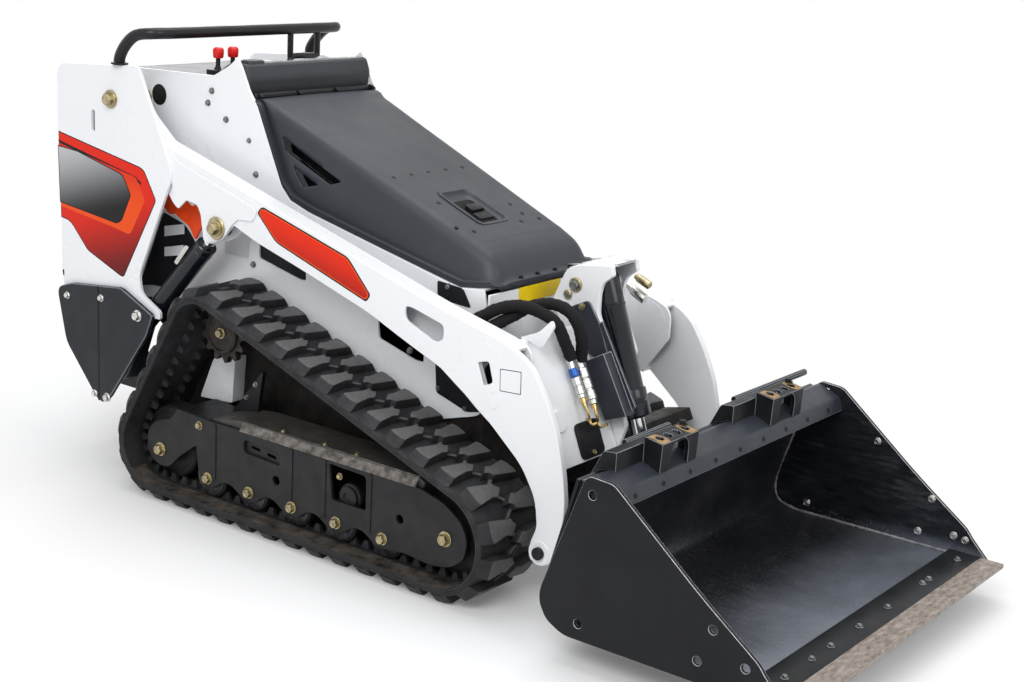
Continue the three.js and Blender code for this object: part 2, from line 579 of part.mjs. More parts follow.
// ---------------------------------------------------------------- hydraulic cylinders
// Barrel from its base pin toward the rod's pin, with a lug at the base and a gland at the mouth.
function along(from, to, distance) {
  const length = Math.hypot(to.x - from.x, to.z - from.z);
  return {
    x: from.x + ((to.x - from.x) * distance) / length,
    z: from.z + ((to.z - from.z) * distance) / length,
  };
}
function barrelSolid(base, tip, y, size) {
  const start = along(base, tip, size.start);
  const mouth = along(base, tip, size.length);
  const gland = along(base, tip, size.length - size.gland);
  const outer = union([
    cross(base, size.eye, y - size.eyeHalf, y + size.eyeHalf, 16),
    bar([base.x, y, base.z], [start.x, y, start.z], size.radius * 0.6, 20),
    bar([start.x, y, start.z], [mouth.x, y, mouth.z], size.radius, 20),
    bar([gland.x, y, gland.z], [mouth.x, y, mouth.z], size.radius + size.collar, 20),
  ]);
  const inner = along(base, tip, size.start + 6);
  const beyond = along(base, tip, size.length + 40);
  return cut(outer, [
    bar([inner.x, y, inner.z], [beyond.x, y, beyond.z], size.rod + 1, 16),
    cross(base, PIN_R + 1, y - 80, y + 80, 20),
  ]);
}
function rodSolid(base, tip, y, size) {
  const length = Math.hypot(tip.x - base.x, tip.z - base.z);
  const tail = along(base, tip, size.tail);
  const neck = along(base, tip, length - size.eye * 0.6);
  return union([
    bar([tail.x, y, tail.z], [neck.x, y, neck.z], size.rod, 16),
    cross(tip, size.eye, y - size.eyeHalf, y + size.eyeHalf, 20),
  ]);
}
const LIFT_CYL = {
  radius: 29, rod: 16, eye: 26, eyeHalf: 19, start: 45, length: 615, gland: 40, tail: 80, collar: 1,
};
const LIFT_CYL_Y = -ARM_OUT + ARM_WIDTH / 2;
pairOf('lift_barrel', 'black', barrelSolid(LIFT_BASE, LIFT_PIN, LIFT_CYL_Y, LIFT_CYL));
pairOf('lift_rod', 'chrome', rodSolid(LIFT_BASE, LIFT_PIN, LIFT_CYL_Y, LIFT_CYL));

const TILT_CYL = {
  radius: 34, rod: 19, eye: 24, eyeHalf: 28, start: 46, length: 349, gland: 71, tail: 95, collar: 5,
};
part('tilt_barrel', 'black', barrelSolid(TILT_TOP, TILT_EYE, 0, TILT_CYL));
part('tilt_rod', 'chrome', rodSolid(TILT_TOP, TILT_EYE, 0, TILT_CYL));

// ---------------------------------------------------------------- attach frame and bucket
const ROD_EAR_IN = 34;             // ears of the tilt rod's pin
const ROD_EAR_OUT = 48;
const BACK_LOW = { x: 618, z: 150 };    // straight back of the bucket
const BACK_TOP = { x: 700, z: 455 };
const backX = (z) => BACK_LOW.x + ((BACK_TOP.x - BACK_LOW.x) * (z - BACK_LOW.z)) / (BACK_TOP.z - BACK_LOW.z);
const attachFront = (z) => backX(z) - GAP - 0.1;
function attachFrame() {
  const back = plate([[attachFront(160) - 12, 160], [attachFront(160), 160], [attachFront(440), 440],
    [attachFront(440) - 12, 440]], -BUCKET_PIN_Y, BUCKET_PIN_Y);
  const ear = [[448, 150, 15], [462, 196, 20], [560, 300, 20], [attachFront(330) - 4, 330],
    [attachFront(162) - 4, 162], [560, 126, 15], [480, 128, 15], [452, 136, 12]];
  const outerEar = plate(ear, -BUCKET_PIN_Y, -BUCKET_PIN_Y + 14);
  const rodEar = plate([[522, 276, 18], [536, 304, 15], [attachFront(350) - 4, 350],
    [attachFront(220) - 4, 220], [572, 246, 15], [532, 250, 15]], -ROD_EAR_OUT, -ROD_EAR_IN);
  const shaft = cross(TILT_PIVOT, PIN_R, -ARM_OUT - 12, -BUCKET_PIN_Y + 12);
  const stub = cross(TILT_EYE, PIN_R, -ROD_EAR_OUT - 6, -ROD_EAR_IN);
  const window = box(560, 760, -ROD_EAR_IN, ROD_EAR_IN, 235, 400);
  const half = [outerEar, rodEar, shaft, stub];
  return union([cut(back, [window]), ...half, ...half.map(mirrored)]);
}
part('attach_frame', 'charcoal', attachFrame());

const bucketSide = [
  [722, 458, 6], [736, 470, 8], [800, 466, 14], [1036, 277], [1190, 166, 16], [1205, 146, 8],
  [1252, 98], [1252, 76], [690, 76, 20], [640, 100, 40], [612, 150, 40],
];
function bucketEnds() {
  const holes = [[746, 428], [729, 116], [1042, 128], [1159, 148], [1074, 210]];
  return cut(plate(bucketSide, -BUCKET_HALF, -BUCKET_HALF + BUCKET_SIDE),
    holes.map(([x, z]) => cross({ x, z }, 11, -BUCKET_HALF - 5, -BUCKET_HALF + BUCKET_SIDE + 5, 18)));
}
const bucketShellOuter = [
  [1240, 80], [690, 80, 60], [636, 98, 50], [BACK_LOW.x, BACK_LOW.z, 30], [BACK_TOP.x, BACK_TOP.z],
  [BACK_TOP.x + 8, BACK_TOP.z - 2], [BACK_LOW.x + 9, BACK_LOW.z, 30], [642, 106, 42], [692, 90, 50], [1240, 90],
];
function bucket() {
  const shell = plate(bucketShellOuter, -BUCKET_HALF + 2, BUCKET_HALF - 2);
  const end = bucketEnds();
  return union([shell, end, mirrored(end)]);
}
part('bucket_shell', 'charcoal', bucket());

const BEAM_REAR = { x: 735, z: 466 };
const BEAM_FRONT = { x: 795, z: 440 };
const beamSide = [[backX(452) + 8.8, 452], [BEAM_REAR.x, BEAM_REAR.z, 6], [BEAM_FRONT.x, BEAM_FRONT.z, 6],
  [808, 402, 6], [backX(392) + 8.8, 392]];
const BEAM_SLOPE = (BEAM_FRONT.z - BEAM_REAR.z) / (BEAM_FRONT.x - BEAM_REAR.x);
const beamZ = (x) => BEAM_REAR.z + BEAM_SLOPE * (x - BEAM_REAR.x);
const beamHalf = BUCKET_HALF - BUCKET_SIDE - GAP;
part('bucket_beam', 'slate', plate(beamSide, -beamHalf, beamHalf));

const EDGE = { x0: 1180, x1: 1300, z0: 90.3, z1: 102 };
part('cutting_edge', 'steel', box(EDGE.x0, EDGE.x1, -BUCKET_HALF + BUCKET_SIDE + GAP,
  BUCKET_HALF - BUCKET_SIDE - GAP, EDGE.z0, EDGE.z1));

// Two step brackets stand on the beam: a perforated tread on an arched leg, a strut box behind it
// and a lever bar along the strut.
const STEP = { width: 160, strutBefore: 113, strutAfter: 82, flank: 8 };
function stepBracket(y0, leverFrom, leverTo) {
  const y1 = y0 + STEP.width;
  const middle = (y0 + y1) / 2;
  const seat = (x) => beamZ(x) + GAP + 0.05;
  const strut = plate([
    [681, 441], [712, 504, 6], [748, 508, 6], [748, seat(748)], [BEAM_REAR.x, seat(BEAM_REAR.x) + 0.2],
    [706, 455.8], [backX(455) - GAP, 455.5], [backX(441) - GAP - 0.2, 441],
  ], y0 - STEP.strutBefore, y0 + STEP.strutAfter);
  const tread = plate([[746, 513], [748, 521], [798, 512], [796, 504]], y0, y1);
  const holes = [0.16, 0.39, 0.62, 0.85].map((share) => {
    const y = y0 + share * STEP.width;
    return bar([773, y, 480], [773, y, 540], 11, 12);
  });
  const leg = plate([[786, 508], [798, 512], [795, seat(794)], [784, seat(784)]], y0, y1);
  const arch = union([
    bar([740, middle, 474], [840, middle, 474], 40, 20),
    box(740, 840, middle - 40, middle + 40, 400, 474),
  ]);
  const flankSide = [[747, 515], [790, 508], [786, seat(786)], [747, seat(747)]];
  const near = plate(flankSide, y0, y0 + STEP.flank);
  const far = plate(flankSide, y1 - STEP.flank, y1);
  const lever = bar([707, leverFrom, 500], [707, leverTo, 500], 9, 10);
  return union([strut, cut(tread, holes), cut(leg, [arch]), near, far, lever]);
}
part('step_bracket_right', 'black', stepBracket(-362, -380, -190));
part('step_bracket_left', 'black', stepBracket(160, 120, 500));

// ---------------------------------------------------------------- hood
const HOOD_HALF = 247;            // half width at its hinge end
const HOOD_WALL = 5;
const hoodTop = [[-640, 1128], [-612, 1131], [-584, 1116], [100, 842], [160, 806], [184, 775]];
const crestRear = new THREE.Vector3(-584, 236, 1116);
const crestFront = new THREE.Vector3(100, 195, 842);
const flangeMiddle = new THREE.Vector3(-200, 243, 801);
// Everything outside the leaning left face of the hood.
function besideHood(inset) {
  const normal = new THREE.Plane().setFromCoplanarPoints(crestRear, flangeMiddle, crestFront).normal;
  if (normal.y < 0) normal.negate();
  const block = new THREE.BoxGeometry(3000, 400, 3000);
  block.translate(0, 200, 0);
  block.applyQuaternion(new THREE.Quaternion().setFromUnitVectors(new THREE.Vector3(0, 1, 0), normal));
  const at = crestRear.clone().addScaledVector(normal, -inset);
  block.translate(at.x, at.y, at.z);
  return solid(block);
}
function hoodBody(inset) {
  const points = [...hoodTop.map(([x, z]) => [x, z - inset * 1.1]), ...hoodSeam.map(([x, z]) => [x, z])];
  const body = plate(points, -HOOD_HALF + inset, HOOD_HALF - inset);
  const side = besideHood(inset);
  return cut(body, [side, mirrored(side)]);
}
function hood() {
  const inner = hoodBody(HOOD_WALL);
  const hollow = union([inner, inner.translate([0, 0, -20]), inner.translate([-6, 0, -60])]);
  const frontWall = box(178, 260, -300, 300, 600, 900);
  const rearWall = box(-700, -634, -300, 300, 900, 1300);
  return cut(hoodBody(0), [cut(hollow, [frontWall, rearWall])]);
}
part('hood', 'slate', hood());

// ---------------------------------------------------------------- operator station
// The console runs back from the dash between the body sides.
const CONSOLE_TOP = 1166;
part('dash', 'slate', plate([
  [-1277, 1100], [-1277, 1148, 10], [-900, CONSOLE_TOP], [-800, CONSOLE_TOP + 4, 20], [-745, 1215, 20],
  [-676, 1218, 8], [-660, 1180, 10], [-672, 1120],
], -HULL_HALF, HULL_HALF));
part('rear_panel', 'white', box(-1286, -1278, -HULL_HALF, HULL_HALF, 560, 1099));
part('front_panel', 'white', box(HULL_FRONT_X + GAP, HULL_FRONT_X + 8, -SIDE_OUT, SIDE_OUT,
  HULL_TOP_Z + GAP, 735));

function standingPlatform() {
  const deck = box(-1290, -910, -HULL_HALF + 4, HULL_HALF - 4, 205, 217);
  const upright = box(-1225, -1020, -SIDE_OUT, -HULL_HALF + 6, 205, 330);
  return union([deck, upright, mirrored(upright)]);
}
part('standing_platform', 'charcoal', standingPlatform());

// The grab bar stands on the tower plates; a U-shaped bracket ties it to the console.
const BAR_R = 16;
const BAR = { x: -900, z: 1284 };
function grabBar() {
  const y = -TOWER_IN - 5;
  const half = [[-1034, y, 1188.6], [-1034, y, 1204], [-1010, y - 2, 1240], [-966, y, 1274],
    [-916, y + 14, 1283], [BAR.x - 1, y + 60, BAR.z]];
  const route = [...half, [BAR.x, 0, BAR.z], ...half.map(([x, yy, z]) => [x, -yy, z]).reverse()];
  const post = (side) => bar([BAR.x, side, CONSOLE_TOP + 30], [BAR.x, side, BAR.z], 9, 10);
  const foot = bar([BAR.x, 155, CONSOLE_TOP + 1], [BAR.x, 155, CONSOLE_TOP + 40], 9, 10);
  const link = bar([BAR.x, 155, CONSOLE_TOP + 34], [BAR.x, 270, CONSOLE_TOP + 34], 9, 10);
  return union([tube(route, BAR_R, 36, 5), post(155), post(270), foot, link]);
}
part('grab_bar', 'black', grabBar());

// Two control levers on a base block, each a stem with a cap.
function controlLevers() {
  const pieces = [box(-880, -822, -205, -96, CONSOLE_TOP + 3.4, CONSOLE_TOP + 18)];
  [-182, -126].forEach((y) => {
    pieces.push(bar([-852, y, CONSOLE_TOP + 12], [-850, y, 1226], 6, 8));
    pieces.push(bar([-850, y, 1222], [-850, y, 1246], 16, 12));
  });
  return union(pieces);
}
part('control_levers', 'black', controlLevers());

// ---------------------------------------------------------------- arm lock
// An orange stop hangs on a pin between the body side and the right arm.
const LOCK_PIN = { x: -916, z: 789 };
const LOCK_OUT = 304;
function armLock() {
  const stop = plate([
    [-942, 852, 8], [-958, 823, 10], [-941, 794, 10], [-914, 774, 10], [-891, 780], [-833, 753], [-809, 717, 6],
    [-781, 762, 6], [-797, 819, 6], [-846, 828], [-883, 806, 6], [-908, 845, 8],
  ], -LOCK_OUT, -LOCK_OUT + 8);
  return union([stop, cross(LOCK_PIN, 10, -LOCK_OUT - 2, -SIDE_OUT - GAP, 14)]);
}
part('arm_lock', 'orange', armLock());

export default group;
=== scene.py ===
# Mini skid steer loader on rubber tracks, with lift arms and a bucket: its looks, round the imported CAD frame.
# Metres, +X forward to the bucket, +Y to the machine's left, +Z up, ground at z = 0.
import math
import bmesh
import bpy
import numpy as np
from mathutils import Matrix
from mathutils.geometry import tessellate_polygon


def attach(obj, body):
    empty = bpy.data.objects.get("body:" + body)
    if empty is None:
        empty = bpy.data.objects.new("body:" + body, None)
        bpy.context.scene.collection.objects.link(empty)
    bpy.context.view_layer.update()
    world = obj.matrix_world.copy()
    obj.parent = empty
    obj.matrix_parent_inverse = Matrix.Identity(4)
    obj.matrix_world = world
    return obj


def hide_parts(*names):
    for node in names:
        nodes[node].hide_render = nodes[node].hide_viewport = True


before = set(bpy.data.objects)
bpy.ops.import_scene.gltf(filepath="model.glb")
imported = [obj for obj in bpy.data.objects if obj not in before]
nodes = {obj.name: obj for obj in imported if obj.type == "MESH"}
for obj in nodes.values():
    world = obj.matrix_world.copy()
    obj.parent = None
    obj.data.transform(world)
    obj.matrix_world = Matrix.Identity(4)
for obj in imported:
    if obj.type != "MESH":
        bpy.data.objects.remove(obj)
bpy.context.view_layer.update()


# ------------------------------ camera
# It stands ahead of the machine and to its right, about half a metre above the hood, and leans about three
# degrees to one side.
def standing(rows, place):
    """The matrix of something at a place whose own X, Y and Z point along the rows."""
    return Matrix([[*row, at] for row, at in zip(np.array(rows).T, place)] + [[0, 0, 0, 1]])


CAMERA_PLACE = (2.671, -3.506, 1.687)
CAMERA_TURN, CAMERA_DROP, CAMERA_LEAN = np.radians([36.346, 14.628, 3.151])
CAMERA_LENS = 59.27
level = np.array([math.cos(CAMERA_TURN), math.sin(CAMERA_TURN), 0.0])
back = np.array([math.sin(CAMERA_TURN) * math.cos(CAMERA_DROP),
                 -math.cos(CAMERA_TURN) * math.cos(CAMERA_DROP), math.sin(CAMERA_DROP)])
upright = np.cross(back, level)
across = math.cos(CAMERA_LEAN) * level + math.sin(CAMERA_LEAN) * upright
upward = math.cos(CAMERA_LEAN) * upright - math.sin(CAMERA_LEAN) * level
camera = bpy.data.objects.new("camera", bpy.data.cameras.new("camera"))
camera.data.lens = CAMERA_LENS
camera.data.sensor_width = 36
camera.matrix_world = standing([across, upward, back], CAMERA_PLACE)
bpy.context.scene.collection.objects.link(camera)
bpy.context.scene.camera = camera
bpy.context.scene.view_settings.view_transform = "Standard"


# ------------------------------ floor and studio light
# A studio: a wide pale floor and four large soft lamps. What the eye and the bright metal see round the
# machine is plain white.
def new_material(name):
    """A node material with its shader: (material, tree, shader)."""
    made = bpy.data.materials.new(name)
    made.use_nodes = True
    return made, made.node_tree, made.node_tree.nodes["Principled BSDF"]


def fill(tree, node, inputs):
    """Gives a node its inputs: one given as a socket is linked, and anything else is set on the input."""
    for key, value in inputs.items():
        if isinstance(value, bpy.types.NodeSocket):
            tree.links.new(value, node.inputs[key])
        else:
            node.inputs[key].default_value = value


def add_node(tree, kind, inputs=None, **settings):
    """Adds a shader node with its settings and its inputs."""
    made = tree.nodes.new(kind)
    for key, value in settings.items():
        setattr(made, key, value)
    fill(tree, made, inputs or {})
    return made


def combined(tree, way, *values):
    """What a Math node makes of its values, such as their product, their sum or the greatest of them."""
    return add_node(tree, "ShaderNodeMath", dict(enumerate(values)), operation=way).outputs[0]


def ramped(tree, value, start, end, low, high, curve="LINEAR"):
    """Runs from low to high while the value runs from start to end, and is level on both sides of that."""
    span = {"Value": value, "From Min": start, "From Max": end, "To Min": low, "To Max": high}
    return add_node(tree, "ShaderNodeMapRange", span, interpolation_type=curve).outputs["Result"]


def object_place(tree):
    """The point's place on the machine, in metres."""
    return add_node(tree, "ShaderNodeTexCoord").outputs["Object"]


def seen_directly(tree):
    """1 for what the eye sees, straight or mirrored, and 0 for the light that falls on the machine."""
    rays = add_node(tree, "ShaderNodeLightPath").outputs
    direct = combined(tree, "MAXIMUM", rays["Is Camera Ray"], rays["Is Transmission Ray"])
    return combined(tree, "MAXIMUM", direct, rays["Is Glossy Ray"])


FLOOR_HALF = 90.0
FLOOR_COLOUR = (0.86, 0.865, 0.875, 1)
# The distance from the middle counts X and Y by these shares, so that its curves are ovals along X.
FLOOR_OVAL = (0.75, 1.0, 0.0)
# Plain white takes the floor over between two distances, in metres: (near, far, share near, share far).
FLOOR_FADE = (0.8, 2.6, 0.12, 1.0)
LAMPS = [
    # place, aimed at, width, height, watts
    ((1.6, -4.6, 4.4), (0.1, 0, 0.5), 4.2, 2.6, 190),
    ((5.2, -0.4, 3.6), (0.4, 0, 0.4), 3.0, 2.6, 75),
    ((-0.6, 0.6, 5.2), (-0.1, 0, 0.6), 4.0, 4.0, 120),
    ((-4.6, 3.2, 3.0), (-0.4, 0, 0.6), 2.6, 2.6, 70),
]
floor_mesh = bpy.data.meshes.new("floor")
floor_corners = [(-FLOOR_HALF, -FLOOR_HALF, 0), (FLOOR_HALF, -FLOOR_HALF, 0), (FLOOR_HALF, FLOOR_HALF, 0),
                 (-FLOOR_HALF, FLOOR_HALF, 0)]
floor_mesh.from_pydata(floor_corners, [], [(0, 1, 2, 3)])
floor = bpy.data.objects.new("floor", floor_mesh)
bpy.context.scene.collection.objects.link(floor)
floor_finish, floor_tree, floor_shader = new_material("pale_floor")
fill(floor_tree, floor_shader, {"Base Color": FLOOR_COLOUR, "Roughness": 0.9, "Specular IOR Level": 0.1})
# What the eye and the metal see of the floor turns white with distance; beside the machine its shadow stays.
floor_at = add_node(floor_tree, "ShaderNodeVectorMath", {0: object_place(floor_tree), 1: FLOOR_OVAL},
                    operation="MULTIPLY")
floor_reach = add_node(floor_tree, "ShaderNodeVectorMath", {0: floor_at.outputs[0]}, operation="LENGTH")
floor_fade = ramped(floor_tree, floor_reach.outputs["Value"], *FLOOR_FADE, "SMOOTHSTEP")
floor_share = combined(floor_tree, "MULTIPLY", floor_fade, seen_directly(floor_tree))
floor_glow = add_node(floor_tree, "ShaderNodeEmission", {"Color": (1, 1, 1, 1), "Strength": 1.0})
floor_mix = add_node(floor_tree, "ShaderNodeMixShader", {0: floor_share, 1: floor_shader.outputs["BSDF"],
                                                         2: floor_glow.outputs["Emission"]})
fill(floor_tree, floor_tree.nodes["Material Output"], {"Surface": floor_mix.outputs["Shader"]})
floor.data.materials.append(floor_finish)
for number, (place, aim, width, height, watts) in enumerate(LAMPS):
    lamp = bpy.data.objects.new(f"lamp_{number}", bpy.data.lights.new(f"lamp_{number}", "AREA"))
    lamp.data.shape = "RECTANGLE"
    lamp.data.size, lamp.data.size_y, lamp.data.energy = width, height, watts
    away = np.array(place) - np.array(aim)
    away = away / np.linalg.norm(away)
    lamp_side = np.cross([0, 0, 1], away)
    lamp_side = lamp_side / np.linalg.norm(lamp_side)
    lamp.matrix_world = standing([lamp_side, np.cross(away, lamp_side), away], place)
    bpy.context.scene.collection.objects.link(lamp)
studio = bpy.data.worlds.new("studio")
studio.use_nodes = True
world_light = ramped(studio.node_tree, seen_directly(studio.node_tree), 0.0, 1.0, 0.5, 1.0)
fill(studio.node_tree, studio.node_tree.nodes["Background"], {"Color": (1, 1, 1, 1), "Strength": world_light})
bpy.context.scene.world = studio


# ------------------------------ hoses to the quick couplers
# Two rubber hoses in a braided nylon sleeve lead from the right arm's inner wall, over the cross member, to
# the couplers. Each is held by a crimped ferrule at its start.
def grid_faces(rows, columns, wrap_rows=False, wrap_columns=False):
    """Four-sided faces between the neighbours of a grid of points numbered row by row."""
    r = np.arange(rows if wrap_rows else rows - 1)[:, None]
    c = np.arange(columns if wrap_columns else columns - 1)[None, :]
    r2, c2 = (r + 1) % rows, (c + 1) % columns
    corners = [r * columns + c, r * columns + c2, r2 * columns + c2, r2 * columns + c]
    return np.stack(corners, -1).reshape(-1, 4)


def swept(route, radii, around):
    """Rings of points round a route, one to each of its points: centre + radius (cos a, sin a) in the plane
    square to the route, turned as little as possible from ring to ring; a middle point closes each end."""
    route = np.asarray(route, float)
    radii = np.broadcast_to(np.asarray(radii, float), len(route))
    ahead = np.gradient(route, axis=0)
    ahead /= np.linalg.norm(ahead, axis=1)[:, None]
    slanting = [0.31, 0.87, 0.38]
    first = np.cross(ahead[0], slanting)
    sides = [first / np.linalg.norm(first)]
    for way in ahead[1:]:
        turned_side = sides[-1] - way * (sides[-1] @ way)
        sides.append(turned_side / np.linalg.norm(turned_side))
    sides = np.array(sides)
    ups = np.cross(ahead, sides)
    angle = np.arange(around) * 2 * math.pi / around
    rings = (route[:, None] + radii[:, None, None]
             * (np.cos(angle)[None, :, None] * sides[:, None] + np.sin(angle)[None, :, None] * ups[:, None]))
    points = np.concatenate([rings.reshape(-1, 3), route[:1], route[-1:]])
    last = (len(route) - 1) * around
    ring = np.arange(around)
    after = (ring + 1) % around
    ends = [np.stack([ring, after, np.full(around, len(points) - 2)], -1),
            np.stack([last + after, last + ring, np.full(around, len(points) - 1)], -1)]
    sides_of_tube = grid_faces(len(route), around, wrap_columns=True).tolist()
    return points, [*sides_of_tube, *np.concatenate(ends).tolist()]


def joined(parts):
    """Several (points, faces) as one."""
    points, faces, count = [], [], 0
    for part_points, part_faces in parts:
        part_points = np.asarray(part_points, float).reshape(-1, 3)
        points.append(part_points)
        faces += [[index + count for index in face] for face in part_faces]
        count += len(part_points)
    return np.concatenate(points), faces


def make_piece(name, shape, finish, body, smooth=35, replaces=(), flat=False, merge=True):
    """A mesh of (points, faces) that rides on a body: doubles merged unless merge is off, faces turned
    outwards, and smooth wherever two faces meet at less than the angle smooth. Where flat is set, its flat
    faces stay flat."""
    points, faces = shape
    mesh = bpy.data.meshes.new(name)
    mesh.from_pydata(np.asarray(points, float).reshape(-1, 3).tolist(), [], faces)
    work = bmesh.new()
    work.from_mesh(mesh)
    if merge:
        bmesh.ops.remove_doubles(work, verts=work.verts, dist=1e-6)
    bmesh.ops.recalc_face_normals(work, faces=work.faces)
    work.to_mesh(mesh)
    work.free()
    mesh.shade_smooth()
    mesh.set_sharp_from_angle(angle=math.radians(smooth))
    for layer in finish if isinstance(finish, (list, tuple)) else [finish]:
        mesh.materials.append(layer)
    item = bpy.data.objects.new(name, mesh)
    bpy.context.scene.collection.objects.link(item)
    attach(item, body)
    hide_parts(*replaces)
    return flat_shaded(item) if flat else item


def smooth_route(points, count):
    """A curve through the points, at even steps of length: centripetal Catmull-Rom between each four."""
    p = np.asarray(points, float)
    p = np.vstack([2 * p[0] - p[1], p, 2 * p[-1] - p[-2]])
    knots = np.concatenate([[0], np.cumsum(np.sqrt(np.linalg.norm(np.diff(p, axis=0), axis=1)))])
    pieces = []
    for i in range(1, len(p) - 2):
        t = np.linspace(knots[i], knots[i + 1], 30, endpoint=i == len(p) - 3)[:, None]
        t0, t1, t2, t3 = knots[i - 1:i + 3]
        a1 = (t1 - t) / (t1 - t0) * p[i - 1] + (t - t0) / (t1 - t0) * p[i]
        a2 = (t2 - t) / (t2 - t1) * p[i] + (t - t1) / (t2 - t1) * p[i + 1]
        a3 = (t3 - t) / (t3 - t2) * p[i + 1] + (t - t2) / (t3 - t2) * p[i + 2]
        b1 = (t2 - t) / (t2 - t0) * a1 + (t - t0) / (t2 - t0) * a2
        b2 = (t3 - t) / (t3 - t1) * a2 + (t - t1) / (t3 - t1) * a3
        pieces.append((t2 - t) / (t2 - t1) * b1 + (t - t1) / (t2 - t1) * b2)
    dense = np.concatenate(pieces)
    length = np.concatenate([[0], np.cumsum(np.linalg.norm(np.diff(dense, axis=0), axis=1))])
    at = np.linspace(0, length[-1], count)
    return np.stack([np.interp(at, length, dense[:, k]) for k in range(3)], -1)


def toned(tree, value, stops):
    """A colour that follows the value through its stops, which are rows of (value, colour)."""
    ramp = add_node(tree, "ShaderNodeValToRGB", {"Fac": value})
    for position, _ in stops[1:-1]:
        ramp.color_ramp.elements.new(position)
    for stop, (position, colour) in zip(ramp.color_ramp.elements, stops):
        stop.position = position
        stop.color = (*colour, 1)
    return ramp.outputs["Color"]


def relief(tree, height, strength, depth):
    """A bump that stands depth metres high where the height is 1."""
    bump = add_node(tree, "ShaderNodeBump", {"Height": height, "Strength": strength, "Distance": depth})
    return bump.outputs["Normal"]


def sleeve_finish():
    """Black nylon braid: two sets of fine slanting threads from wave textures across the hose's own length
    and girth, their product, with each crossing a little raised and lighter."""
    made, tree, shader = new_material("hose_sleeve")
    place = add_node(tree, "ShaderNodeUVMap", uv_map="braid")
    waves = []
    for lean in (1, -1):
        turn = add_node(tree, "ShaderNodeMapping",
                        {"Vector": place.outputs["UV"], "Rotation": (0, 0, lean * 0.78)})
        waves.append(add_node(tree, "ShaderNodeTexWave", {"Vector": turn.outputs["Vector"], "Scale": 1.0},
                              wave_type="BANDS", wave_profile="SIN").outputs["Fac"])
    braid = combined(tree, "MULTIPLY", *waves)
    colour = toned(tree, braid, [(0.0, (0.003, 0.003, 0.004)), (1.0, (0.020, 0.020, 0.022))])
    fill(tree, shader, {"Base Color": colour, "Normal": relief(tree, braid, 0.6, 0.0012), "Roughness": 0.7,
                        "Specular IOR Level": 0.2})
    return made


HOSE_RADIUS = 0.0155
HOSE_ROUTES = [
    [(98, -296.5, 627), (120, -296.5, 640), (204, -280, 687), (235, -265, 708), (286, -240, 722),
     (330, -215, 710), (366, -195, 686), (390, -180, 632), (404, -171, 596)],
    [(96, -296.5, 594), (120, -296.5, 598), (170, -290, 616), (224, -282, 658), (262, -240, 690),
     (300, -190, 719), (345, -165, 723), (388, -157, 704), (411, -148, 656), (412, -140.4, 590)],
]
HOSE_RINGS, HOSE_AROUND, THREADS_AROUND = 90, 16, 14
braided_sleeve = sleeve_finish()
for number, corners in enumerate(HOSE_ROUTES, 1):
    centre_line = smooth_route(np.array(corners) / 1000, HOSE_RINGS)
    # The loose sleeve wrinkles: its radius sums three sines of different lengths along the hose.
    step = np.arange(HOSE_RINGS)
    wrinkles = (1 + 0.035 * np.sin(step * 1.9 + number) + 0.025 * np.sin(step * 0.83)
                + 0.02 * np.sin(step * 3.1))
    sleeve = swept(centre_line, HOSE_RADIUS * wrinkles, HOSE_AROUND)
    hose = make_piece(f"braided_hose_{number}", sleeve, braided_sleeve, "lift_arms", smooth=80,
                      replaces=[f"hose_{number}"])
    # The braid's own map counts threads: as many to a stretch of length as to the same stretch of girth.
    turns = hose.data.uv_layers.new(name="braid")
    vertex = np.empty(len(hose.data.loops), int)
    hose.data.loops.foreach_get("vertex_index", vertex)
    places = np.array([v.co for v in hose.data.vertices])
    nearest = np.argmin(np.linalg.norm(places[:, None] - centre_line[None], axis=2), axis=1)
    step_length = np.linalg.norm(np.diff(centre_line, axis=0), axis=1).mean()
    thread = 2 * math.pi * HOSE_RADIUS / THREADS_AROUND
    girth = (vertex % HOSE_AROUND) / HOSE_AROUND * 2 * math.pi * HOSE_RADIUS / thread
    along = nearest[vertex] * step_length / thread
    turns.data.foreach_set("uv", np.stack([girth, along], -1).ravel().astype(np.float32))


# ------------------------------ quick couplers and hose fittings
# Two zinc-plated steel couplers, one with a blue lock collar, screwed to bent brass-coloured hard lines that
# end on a black plate; zinc-plated ferrules hold the hoses on the arm. All are turned or drawn parts.
def soft_noise(tree, scale, detail, roughness=0.5, stretch=None):
    """Soft random patches, scale of them to the metre, or drawn out by a scale for each direction."""
    place = object_place(tree)
    if stretch:
        place = add_node(tree, "ShaderNodeMapping", {"Vector": place, "Scale": stretch}).outputs["Vector"]
    look = {"Vector": place, "Scale": scale, "Detail": detail, "Roughness": roughness}
    return add_node(tree, "ShaderNodeTexNoise", look).outputs["Fac"]


def uneven_gloss(tree, low, high, scale):
    """Roughness between low and high in soft patches."""
    return ramped(tree, soft_noise(tree, scale, 5.0), 0.3, 0.7, low, high)


def overlaid(tree, share, under, over):
    """The colour under, covered by the colour over to the share given."""
    mix = add_node(tree, "ShaderNodeMix", {"Factor": share, "A": under, "B": over}, data_type="RGBA")
    return mix.outputs["Result"]


